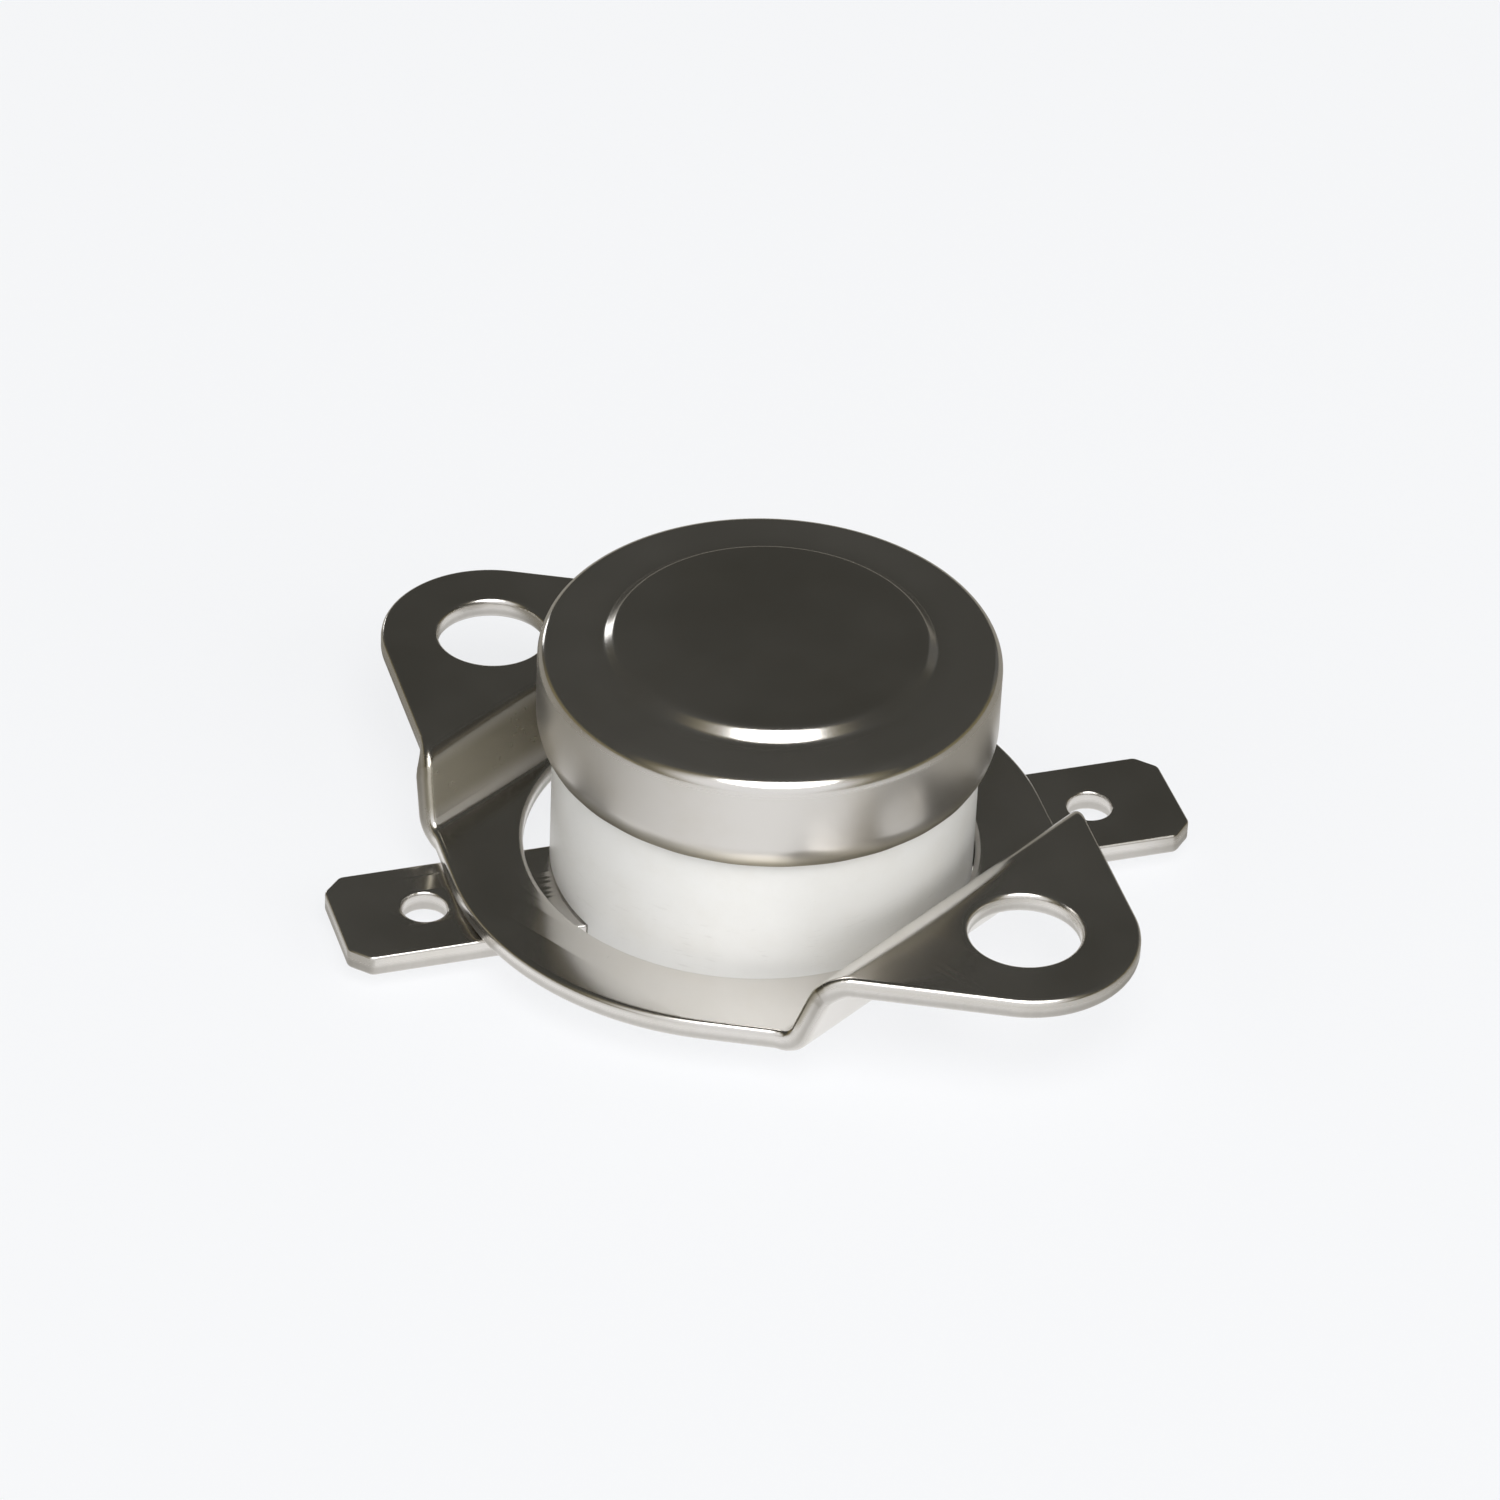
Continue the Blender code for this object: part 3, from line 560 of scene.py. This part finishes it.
def rolling_flats_tree():
    tree, wires = start_tree("rolling_flats", {"Count": 12.0, "Depth": 0.0, "Top": 0.0, "Bottom": 0.0})
    place = wires["Geometry"].add("GeometryNodeInputPosition")
    parts = place.tree.nodes.new("ShaderNodeSeparateXYZ")
    tree.links.new(place.socket, parts.inputs[0])
    x, y, z = (Wire(tree, parts.outputs[axis]) for axis in "XYZ")
    angle = x.math("ARCTAN2", y, x)
    flats = (1.0 - (angle * wires["Count"]).math("COSINE", angle * wires["Count"])) * 0.5
    share = (wires["Top"] - z) / (wires["Top"] - wires["Bottom"])
    share = share.math("MINIMUM", share.math("MAXIMUM", share, 0.0), 1.0)
    push = flats * share * wires["Depth"] * -1.0
    outward = place.add("ShaderNodeVectorMath", {"operation": "MULTIPLY"}, {0: place, 1: (1.0, 1.0, 0.0)})
    outward = place.add("ShaderNodeVectorMath", {"operation": "NORMALIZE"}, {0: outward})
    offset = place.add("ShaderNodeVectorMath", {"operation": "SCALE"}, {0: outward, "Scale": push})
    moved = place.add("GeometryNodeSetPosition", None, {"Geometry": wires["Geometry"], "Offset": offset})
    end_tree(moved, cap_nickel)
    return tree


ROLLER_MARKS = 28.0
MARK_DEPTH = 0.012 * MM
marks_top = cap_low.z + CRIMP_HEIGHT * 1.2
marks = {"Count": ROLLER_MARKS, "Depth": MARK_DEPTH, "Top": marks_top, "Bottom": cap_low.z}
run_tree(cap_shell, rolling_flats_tree(), marks)
keep_flats_flat(cap_shell)
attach(cap_shell, "switch_body")
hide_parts("cap")
print("cap_shell:", len(cap_shell.data.polygons), "faces")


# %% [markdown]
# ## The ceramic body
# The body is pressed in a die and fired. It is a round block with a collar that the cap grips, a stepped
# hollow for the contacts, a recess under it for each tab, and a hole for each rivet. The round outside is
# turned, with its top and bottom outer edges softened as a die leaves them, and the hollows are cut with
# exact Booleans, as the die's cores do.

# %% Body and cutters
BODY_RADIUS = 7.50 * MM
COLLAR_HEIGHT = 1.20 * MM
COLLAR_TAPER = 0.25 * MM
EDGE_SOFT = 0.30 * MM
BODY_WALL = 1.20 * MM
FLOOR_Z = 3.50 * MM
ARM_LEDGE_Z = 4.70 * MM
PLATE_LEDGE_Z = 6.20 * MM
LEDGE_FACE_X = 3.40 * MM
FIT = 0.10 * MM
BODY_STEPS = 192
tab_low, tab_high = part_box("right_terminal")
rivet_low, rivet_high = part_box("right_rivet")
rivet_x = (rivet_low.x + rivet_high.x) / 2
RIVET_HOLE_RADIUS = 0.85 * MM


def cutter(name, mesh, place=(0, 0, 0)):
    tool = bpy.data.objects.new(name, mesh)
    bpy.context.scene.collection.objects.link(tool)
    tool.location = place
    return tool


def block(name, low, high):
    work = bmesh.new()
    bmesh.ops.create_cube(work, size=1)
    bmesh.ops.scale(work, verts=work.verts, vec=[b - a for a, b in zip(low, high)])
    bmesh.ops.translate(work, verts=work.verts, vec=[(a + b) / 2 for a, b in zip(low, high)])
    return cutter(name, clean_mesh(work, name))


def drill(name, radius, low, high, x=0.0, steps=48):
    section = [(0, high), (radius, high), (radius, low), (0, low)]
    return cutter(name, turned_mesh(name, section, steps), (x, 0, 0))


def carve(piece, tools):
    """Cuts every tool out of a piece, then deletes the tools."""
    for tool in tools:
        boolean = piece.modifiers.new(tool.name, "BOOLEAN")
        boolean.operation = "DIFFERENCE"
        boolean.object = tool
    bake_modifiers(piece)
    for tool in tools:
        bpy.data.objects.remove(tool)
    return piece


soft = EDGE_SOFT
collar_radius = base_high.x
body_section = [
    (0, base_high.z),
    *arc((collar_radius - soft, base_high.z - soft), soft, 90, 0, 5),
    (collar_radius, base_high.z - COLLAR_HEIGHT),
    (BODY_RADIUS, base_high.z - COLLAR_HEIGHT - COLLAR_TAPER),
    *arc((BODY_RADIUS - soft, soft), soft, 0, -90, 6),
    (0, 0),
]
body_shell = add_piece("body_shell", turned_mesh("body_shell", body_section, BODY_STEPS), pressed_ceramic)
far = 2 * BODY_RADIUS
hollow = drill("hollow", BODY_RADIUS - BODY_WALL, FLOOR_Z, far, steps=96)
ledges = [
    block("arm_ledge", (-far, -far, -far), (-LEDGE_FACE_X, far, ARM_LEDGE_Z)),
    block("plate_ledge", (LEDGE_FACE_X, -far, -far), (far, far, PLATE_LEDGE_Z)),
]
carve(hollow, ledges)
cuts = [hollow]
half_tab = tab_high.y + FIT
seat = tab_high.z + FIT
for side in (-1, 1):
    ends = sorted((side * (tab_low.x - FIT), side * far))
    cuts.append(block(f"recess_{side}", (ends[0], -half_tab, -far), (ends[1], half_tab, seat)))
    cuts.append(drill(f"rivet_hole_{side}", RIVET_HOLE_RADIUS, -far, far, side * rivet_x))
carve(body_shell, cuts)
body_shell.data.shade_smooth()
body_shell.data.set_sharp_from_angle(angle=math.radians(38))
keep_flats_flat(body_shell)
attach(body_shell, "switch_body")
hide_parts("ceramic_base")
print("body_shell:", len(body_shell.data.polygons), "faces")


# %% [markdown]
# ## Plates with rounded edges
# The tabs and the flange are stamped from sheet. A stamped edge is never square: the punch rounds it on one
# side, and plating rounds it further. A 2D curve with a bevel gives a plate with holes and rounded edges in
# one go. Each point then gets two values that the finish reads: "wall" is 1 on the sheared side and 0 on
# the flat faces, and "sheet_depth" runs from 0 at the upper face to 1 at the lower one.

# %% Plate maker
def circle(x, radius, steps):
    return arc((x, 0), radius, 0, 360, steps)[:-1]


def plate_mesh(name, outline, holes, thickness, edge_round, round_steps):
    """A plate whose middle is at height 0."""
    curve = bpy.data.curves.new(name, "CURVE")
    curve.dimensions = "2D"
    curve.fill_mode = "BOTH"
    curve.extrude = thickness / 2 - edge_round
    curve.bevel_depth = edge_round
    curve.bevel_resolution = round_steps - 1
    curve.offset = -edge_round
    for points in [outline, *[hole[::-1] for hole in holes]]:
        spline = curve.splines.new("POLY")
        spline.points.add(len(points) - 1)
        spline.use_cyclic_u = True
        for point, (x, y) in zip(spline.points, points):
            point.co = (x, y, 0, 1)
    holder = bpy.data.objects.new(name, curve)
    bpy.context.scene.collection.objects.link(holder)
    graph = bpy.context.evaluated_depsgraph_get()
    flat = bpy.data.meshes.new_from_object(holder.evaluated_get(graph))
    bpy.data.objects.remove(holder)
    work = bmesh.new()
    work.from_mesh(flat)
    return clean_mesh(work, name, 1e-7)


def mark_walls(mesh, thickness, edge_round):
    """Writes how far each point is down the sheared side, from the flat faces (0) to the side (1)."""
    heights = np.array([corner.co.z for corner in mesh.vertices])
    share = np.clip((thickness / 2 - np.abs(heights)) / edge_round, 0, 1)
    wall = mesh.attributes.new("wall", "FLOAT", "POINT")
    wall.data.foreach_set("value", share.astype(np.float32))
    depth = mesh.attributes.new("sheet_depth", "FLOAT", "POINT")
    depth.data.foreach_set("value", (0.5 - heights / thickness).astype(np.float32))


# %% [markdown]
# ## The two tabs
# Each terminal is a flat tab of the standard width and thickness, with clipped tip corners for the
# receptacle and a small hole that its detent finds. The tumbling before plating has softened the corners,
# so each corner of the outline is an arc and not a point.

# %% Tab outline with softened corners
TAB_CLIP = 0.70 * MM
TAB_CORNER = 0.35 * MM
TAB_EDGE = 0.12 * MM
TAB_HOLE_RADIUS = 0.80 * MM
TAB_HOLE_FROM_TIP = 3.20 * MM


def softened(corners, radius, steps=5):
    """An outline whose corners are replaced by small arcs."""
    points = []
    count = len(corners)
    for i in range(count):
        corner = Vector(corners[i])
        back = (Vector(corners[i - 1]) - corner).normalized()
        ahead = (Vector(corners[(i + 1) % count]) - corner).normalized()
        half = back.angle(ahead) / 2
        reach = radius / math.tan(half)
        centre = corner + (back + ahead).normalized() * radius / math.sin(half)
        first = corner + back * reach - centre
        last = corner + ahead * reach - centre
        start = math.atan2(first.y, first.x)
        sweep = math.remainder(math.atan2(last.y, last.x) - start, 2 * math.pi)
        for step in range(steps + 1):
            angle = start + sweep * step / steps
            points.append((centre.x + radius * math.cos(angle), centre.y + radius * math.sin(angle)))
    return points


def add_tab(name, node, side):
    low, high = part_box("right_terminal")
    half = high.y
    corners = [
        (low.x, -half),
        (high.x - TAB_CLIP, -half),
        (high.x, -half + TAB_CLIP),
        (high.x, half - TAB_CLIP),
        (high.x - TAB_CLIP, half),
        (low.x, half),
    ]
    outline = softened(corners, TAB_CORNER)
    holes = [
        circle(rivet_x, RIVET_HOLE_RADIUS, 48),
        circle(high.x - TAB_HOLE_FROM_TIP, TAB_HOLE_RADIUS, 64),
    ]
    thickness = high.z - low.z
    mesh = plate_mesh(name, outline, holes, thickness, TAB_EDGE, 4)
    mark_walls(mesh, thickness, TAB_EDGE)
    turn = Matrix.Rotation(0 if side > 0 else math.pi, 4, "Z")
    mesh.transform(Matrix.Translation((0, 0, (low.z + high.z) / 2)) @ turn)
    tab = keep_flats_flat(add_piece(name, mesh, tab_nickel))
    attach(tab, "switch_body")
    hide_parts(node)
    return tab


right_tab = add_tab("right_tab", "right_terminal", 1)
add_tab("left_tab", "left_terminal", -1)
print("tab:", len(right_tab.data.polygons), "faces each")


# %% [markdown]
# ## The flange
# The flange is one stamped blank, folded up at a step on each side of the ring, so that both ears stand
# higher. It could be modelled folded, but then the side walls of the steps would stand upright instead of
# square to the sheet, as folding leaves them. So it is made as in the workshop. The outline that the folded
# part shows from above is unrolled to a flat blank, and a Geometry Nodes tree makes the two bends of each
# step.

# %% The fold's sizes
SHEET = flange_high.z - flange_low.z - EAR_RISE
STEP_START = 8.30 * MM
STEP_RUN = 0.80 * MM
BEND_INSIDE = 0.40 * MM
RING_RADIUS = 10.80 * MM
RING_HOLE_RADIUS = 8.00 * MM
EAR_RADIUS = 4.00 * MM
EAR_HOLE_RADIUS = 1.95 * MM
EAR_HOLE_X = 12.50 * MM
SHEET_EDGE = 0.22 * MM
BEND_STEPS = 14
lean = math.atan2(EAR_RISE, STEP_RUN)
bend_radius = BEND_INSIDE + SHEET / 2
bend_reach = bend_radius * math.tan(lean / 2)
foot = STEP_START + SHEET / 2 * math.tan(lean / 2) - bend_reach
head = foot + bend_radius * lean + math.hypot(STEP_RUN, EAR_RISE) - 2 * bend_reach
print("sheet", round(SHEET / MM, 2), "mm, lean", round(math.degrees(lean), 1), "degrees")


# %% The bend as a rule, first in Python to unroll the outline
def bent(out, height, crease, turn):
    """Where one bend takes a point that lies that far out: turn is in radians, up if positive."""
    way = math.copysign(1, turn)
    past = np.maximum(out - crease, 0)
    rolled = np.minimum(past, bend_radius * abs(turn))
    angle = rolled / bend_radius
    reach = bend_radius - way * height
    rest = past - rolled
    new_out = np.minimum(out, crease) + reach * np.sin(angle) + rest * np.cos(angle)
    return new_out, way * (bend_radius - reach * np.cos(angle) + rest * np.sin(angle))


def unrolled(outline):
    """The blank's outline for an outline seen from above, taken along the sheet's upper face."""
    flat = np.linspace(0, 30 * MM, 6001)
    out, height = bent(flat, np.full_like(flat, SHEET / 2), head, -lean)
    out, height = bent(out, height, foot, lean)
    return [(math.copysign(np.interp(abs(x), out, flat), x), y) for x, y in outline]


def band_round(circles, steps):
    """The outline of a band stretched round circles on the X axis, each (x, radius), in order of x."""
    turns = []
    for (x0, r0), (x1, r1) in zip(circles, circles[1:]):
        turns.append(math.degrees(math.acos((r0 - r1) / (x1 - x0))))
    upper = []
    for (x, radius), start, end in zip(circles[::-1], [*turns, 0][::-1], [180, *turns][::-1]):
        upper += arc((x, 0), radius, start, end, max(3, round(steps * (end - start) / 360)))
    upper = thickened(upper, 0.25 * MM)
    return upper + [(x, -y) for x, y in upper[-2:0:-1]]


def thickened(points, longest):
    """Adds points on long straight runs, so that a bend has something to turn."""
    dense = [points[0]]
    for (x0, y0), (x1, y1) in zip(points, points[1:]):
        pieces = max(1, math.ceil(math.hypot(x1 - x0, y1 - y0) / longest))
        for i in range(1, pieces + 1):
            dense.append((x0 + (x1 - x0) * i / pieces, y0 + (y1 - y0) * i / pieces))
    return dense


def flange_blank():
    seen = band_round([(-EAR_HOLE_X, EAR_RADIUS), (0, RING_RADIUS), (EAR_HOLE_X, EAR_RADIUS)], 240)
    blank_hole_x = unrolled([(EAR_HOLE_X, 0)])[0][0]
    holes = [circle(0, RING_HOLE_RADIUS, 192)]
    holes += [circle(side * blank_hole_x, EAR_HOLE_RADIUS, 96) for side in (-1, 1)]
    mesh = plate_mesh("flange_sheet", unrolled(seen), holes, SHEET, SHEET_EDGE, 5)
    mark_walls(mesh, SHEET, SHEET_EDGE)
    work = bmesh.new()
    work.from_mesh(mesh)
    for crease in (foot, head):
        for share in np.linspace(0, 1, BEND_STEPS + 1):
            for side in (-1, 1):
                everything = [*work.verts, *work.edges, *work.faces]
                spot = side * (crease + bend_radius * lean * share)
                bmesh.ops.bisect_plane(
                    work, geom=everything, dist=1e-8, plane_co=(spot, 0, 0), plane_no=(1, 0, 0)
                )
    return clean_mesh(work, "flange_sheet", 1e-8)


# %% The same bend as a node group, used twice
def bend_group():
    tree, wires = start_tree("bend", {"Crease": 0.0, "Turn": 0.0, "Radius": 1.0})
    place = wires["Geometry"].add("GeometryNodeInputPosition")
    parts = tree.nodes.new("ShaderNodeSeparateXYZ")
    tree.links.new(place.socket, parts.inputs[0])
    x, y, z = (Wire(tree, parts.outputs[axis]) for axis in "XYZ")
    out = x.math("ABSOLUTE", x)
    way = x.math("SIGN", wires["Turn"])
    past = x.math("MAXIMUM", out - wires["Crease"], 0.0)
    rolled = x.math("MINIMUM", past, wires["Radius"] * x.math("ABSOLUTE", wires["Turn"]))
    angle = rolled / wires["Radius"]
    reach = wires["Radius"] - way * z
    rest = past - rolled
    sine, cosine = x.math("SINE", angle), x.math("COSINE", angle)
    new_out = x.math("MINIMUM", out, wires["Crease"]) + reach * sine + rest * cosine
    height = way * (wires["Radius"] - reach * cosine + rest * sine)
    sockets = {"X": new_out * x.math("SIGN", x), "Y": y, "Z": height}
    spot = x.add("ShaderNodeCombineXYZ", None, sockets)
    moved = x.add("GeometryNodeSetPosition", None, {"Geometry": wires["Geometry"], "Position": spot})
    moved.add("NodeGroupOutput", None, {"Geometry": moved})
    return tree


def fold_tree():
    """Both bends of a step: the outer one first, because the inner one then carries it up."""
    inputs = {"Foot": 0.0, "Head": 0.0, "Lean": 0.0, "Bend Radius": 1.0}
    tree, wires = start_tree("fold_step", inputs)
    bend = bend_group()
    lean_in = wires["Lean"]
    sheet = wires["Geometry"]
    for crease, turn in ((wires["Head"], lean_in * -1.0), (wires["Foot"], lean_in)):
        sockets = {"Geometry": sheet, "Crease": crease, "Turn": turn, "Radius": wires["Bend Radius"]}
        sheet = sheet.add("GeometryNodeGroup", {"node_tree": bend}, sockets)
    end_tree(sheet, sheet_nickel)
    return tree


FLANGE_TURN = math.radians(-58)
flange_sheet = add_piece("flange_sheet", flange_blank(), sheet_nickel)
run_tree(flange_sheet, fold_tree(), {"Foot": foot, "Head": head, "Lean": lean, "Bend Radius": bend_radius})
flange_joint = next(joint for joint in frame["joints"] if joint["child"] == "mounting_flange")
middle = Vector((*flange_joint["pos_m"][:2], flange_low.z + SHEET / 2))
flange_sheet.data.transform(Matrix.Translation(middle) @ Matrix.Rotation(FLANGE_TURN, 4, "Z"))
flange_sheet.data.shade_smooth()
flange_sheet.data.set_sharp_from_angle(angle=math.radians(38))
keep_flats_flat(flange_sheet)
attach(flange_sheet, "mounting_flange")
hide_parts("mounting_flange")
print("flange_sheet:", len(flange_sheet.data.polygons), "faces")


# %% [markdown]
# ## The rivets
# Each tab is held by a tubular rivet. Its head sits inside on the leaf or the plate, and its hollow tail is
# rolled outwards over the tab, which leaves a smooth round lip with a dimple in the middle. Only the tails
# can be seen, from below, but the whole rivet is made, because the section is one line either way.

# %% Rivet section
RIVET_SHANK = 0.75 * MM
RIVET_BORE = 0.45 * MM
RIVET_TAIL = 1.30 * MM
RIVET_TAIL_HEIGHT = 0.30 * MM
RIVET_HEAD_HEIGHT = 0.45 * MM
RIVET_HEAD = 1.20 * MM
RIVET_BORE_DEPTH = 1.00 * MM


def add_rivet(name, node):
    low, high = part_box(node)
    seat_under = high.z - RIVET_HEAD_HEIGHT
    lip_centre = (RIVET_TAIL - RIVET_TAIL_HEIGHT, low.z + RIVET_TAIL_HEIGHT)
    edge = RIVET_HEAD_HEIGHT / 3
    mouth = 0.12 * MM
    section = [
        (0, high.z),
        *arc((RIVET_HEAD - edge, high.z - edge), edge, 90, 0, 5),
        (RIVET_HEAD, seat_under),
        (RIVET_SHANK, seat_under),
        (RIVET_SHANK, lip_centre[1]),
        *arc(lip_centre, RIVET_TAIL_HEIGHT, 0, -90, 8),
        *arc((RIVET_BORE + mouth, low.z + mouth), mouth, -90, -180, 4),
        (RIVET_BORE, low.z + RIVET_BORE_DEPTH),
        (0, low.z + RIVET_BORE_DEPTH * 1.1),
    ]
    mesh = turned_mesh(name, section, 64)
    mesh.transform(Matrix.Translation(((low.x + high.x) / 2, 0, 0)))
    rivet = keep_flats_flat(add_piece(name, mesh, strip_brass))
    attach(rivet, "switch_body")
    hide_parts(node)
    return rivet


rivets = [add_rivet("rivet_of_left_tab", "left_rivet"), add_rivet("rivet_of_right_tab", "right_rivet")]
print(len(rivets), "rivets")


# %% [markdown]
# ## The pieces inside
# The disc, its guide, the pin, the leaf, the plate and the contacts are sealed in. Their solids already
# have the right shape, so they stay as they are and only get their finishes.

# %% Finishes of the pieces inside
inside_finishes = {
    "snap_disc": disc_metal,
    "disc_guide": pressed_ceramic,
    "transfer_pin": pressed_ceramic,
    "contact_arm": leaf_copper,
    "moving_contact": contact_silver,
    "fixed_contact_plate": strip_brass,
    "fixed_contact": contact_silver,
}
for node, finish in inside_finishes.items():
    for material_slot in frame["nodes"][node].material_slots:
        material_slot.material = finish
print(len(inside_finishes), "pieces inside")


# %% [markdown]
# ## Floor and light
# Bright metal shows its surroundings and little else, so the studio is built as one: a pale table that runs
# to a low pale horizon, a dark room above it, and soft lamps high up. A flat nickel face that looks up then
# mirrors the dark room, a wall mirrors the pale table, and each rounded edge catches a lamp as a thin
# bright line. Two fill lamps are for the ceramic alone: they are left out of reflections. The table is
# clear from below, so that the underside can be looked at.

# %% Floor
FLOOR_COLOUR = (0.972, 0.982, 1.000)
FLOOR_NEAR = (1.000, 1.000, 1.000)
FLOOR_ASIDE = (0.200, 0.180, 0.135)
to_camera = Vector((math.sin(VIEW_TURN), -math.cos(VIEW_TURN), 0))
to_right = Vector((math.cos(VIEW_TURN), math.sin(VIEW_TURN), 0))
floor_mesh = bpy.data.meshes.new("floor")
work = bmesh.new()
bmesh.ops.create_grid(work, x_segments=1, y_segments=1, size=2.0)
work.to_mesh(floor_mesh)
work.free()
floor = bpy.data.objects.new("floor", floor_mesh)
bpy.context.scene.collection.objects.link(floor)
floor.location.z = -0.02 * MM


def floor_finish():
    """Plain white to the camera, and clear from below. In the metal its brightest side is the camera's."""
    made = bpy.data.materials.new("floor")
    made.use_nodes = True
    made.node_tree.nodes.clear()
    wire = Wire(made.node_tree)
    place = wire.add("ShaderNodeTexCoord", output="Object")
    outward = place.add("ShaderNodeVectorMath", {"operation": "NORMALIZE"}, {0: place})
    pair = {0: outward, 1: to_camera}
    nearness = place.add("ShaderNodeVectorMath", {"operation": "DOT_PRODUCT"}, pair, "Value")
    radius = place.add("ShaderNodeVectorMath", {"operation": "LENGTH"}, {0: place}, "Value")
    towards = place.add("ShaderNodeMapRange", None, {"Value": nearness, "From Min": -0.05, "From Max": 1.05})
    close = 1.0 - band(radius, 14 * MM, 18 * MM)
    mirrored_colour = mix_colour(close.math("MAXIMUM", close, towards**1.5), FLOOR_ASIDE, FLOOR_NEAR)
    seen = wire.add("ShaderNodeLightPath", output="Is Camera Ray")
    mirrored = wire.add("ShaderNodeLightPath", output="Is Glossy Ray")
    share = seen.math("MAXIMUM", seen, mirrored) * 0.80
    lit = wire.add("ShaderNodeBsdfDiffuse", None, {"Color": (*FLOOR_COLOUR, 1)})
    glow_colour = mix_colour(mirrored, FLOOR_COLOUR, mirrored_colour)
    glow = wire.add("ShaderNodeEmission", None, {"Color": glow_colour, "Strength": 1.0})
    mixed = wire.add("ShaderNodeMixShader", None, {0: share, 1: lit, 2: glow})
    below = wire.add("ShaderNodeNewGeometry", output="Backfacing")
    clear = wire.add("ShaderNodeBsdfTransparent", None, {"Color": (1, 1, 1, 1)})
    mixed = wire.add("ShaderNodeMixShader", None, {0: seen * below, 1: mixed, 2: clear})
    wire.add("ShaderNodeOutputMaterial", None, {"Surface": mixed})
    return made


floor_mesh.materials.append(floor_finish())

# %% The room
ROOM = (0.053, 0.0515, 0.045)
DUSK = (0.200, 0.170, 0.092)
PALE = (0.900, 0.900, 0.910)
SCREEN_ELEVATION = math.radians(28)
world = bpy.data.worlds.new("room")
bpy.context.scene.world = world
world.use_nodes = True
world.node_tree.nodes.clear()
air = Wire(world.node_tree)
direction = air.add("ShaderNodeTexCoord", output="Generated")


def along(way):
    """How far the looked-at direction points that way, from -1 to 1."""
    return air.add("ShaderNodeVectorMath", {"operation": "DOT_PRODUCT"}, {0: direction, 1: way}, "Value")


def within(value, inner, outer):
    """1 less than the inner angle away, 0 beyond the outer one."""
    return band(value, math.cos(math.radians(outer)), math.cos(math.radians(inner)))


facing = along(to_camera * math.cos(SCREEN_ELEVATION) + Vector((0, 0, math.sin(SCREEN_ELEVATION))))
level = 1.0 - band(along(Vector((0, 0, 1))), math.sin(math.radians(7)), math.sin(math.radians(17)))
aside = air.math("ABSOLUTE", along(to_right))
dusk = within(facing, 40, 62).math("MAXIMUM", within(facing, 40, 62), level * band(aside, 0.62, 0.90))
sky = mix_colour(within(facing, 24, 50), mix_colour(dusk, ROOM, DUSK), PALE)
backdrop = air.add("ShaderNodeBackground", None, {"Color": sky, "Strength": 1.0})
air.add("ShaderNodeOutputWorld", None, {"Surface": backdrop})

# %% Soft lamps, placed by direction from the object
LAMP_DISTANCE = 0.6


def lamp(name, turn, elevation, size, power):
    """A round lamp that faces the object. Turn is measured from the camera's side."""
    data = bpy.data.lights.new(name, "AREA")
    data.shape = "DISK"
    data.size = size
    data.energy = power
    made = bpy.data.objects.new(name, data)
    bpy.context.scene.collection.objects.link(made)
    heading = VIEW_TURN + math.radians(turn - 90)
    lift = math.radians(elevation)
    way = Vector((math.cos(heading) * math.cos(lift), math.sin(heading) * math.cos(lift), math.sin(lift)))
    made.location = way * LAMP_DISTANCE
    made.rotation_euler = way.to_track_quat("Z", "Y").to_euler()
    return made


lamp("key", 9, 59, 0.42, 1.62)
for fill in (lamp("fill_right", 56, 26, 0.40, 1.08), lamp("fill_left", -62, 26, 0.40, 0.50)):
    fill.visible_glossy = False  # soft light on the ceramic, with no patch of its own in the metal
lamp("left_strip", -146, 4, 0.10, 0.06)
lamp("right_card", 138, 8, 0.22, 0.006)
print("lamps placed")
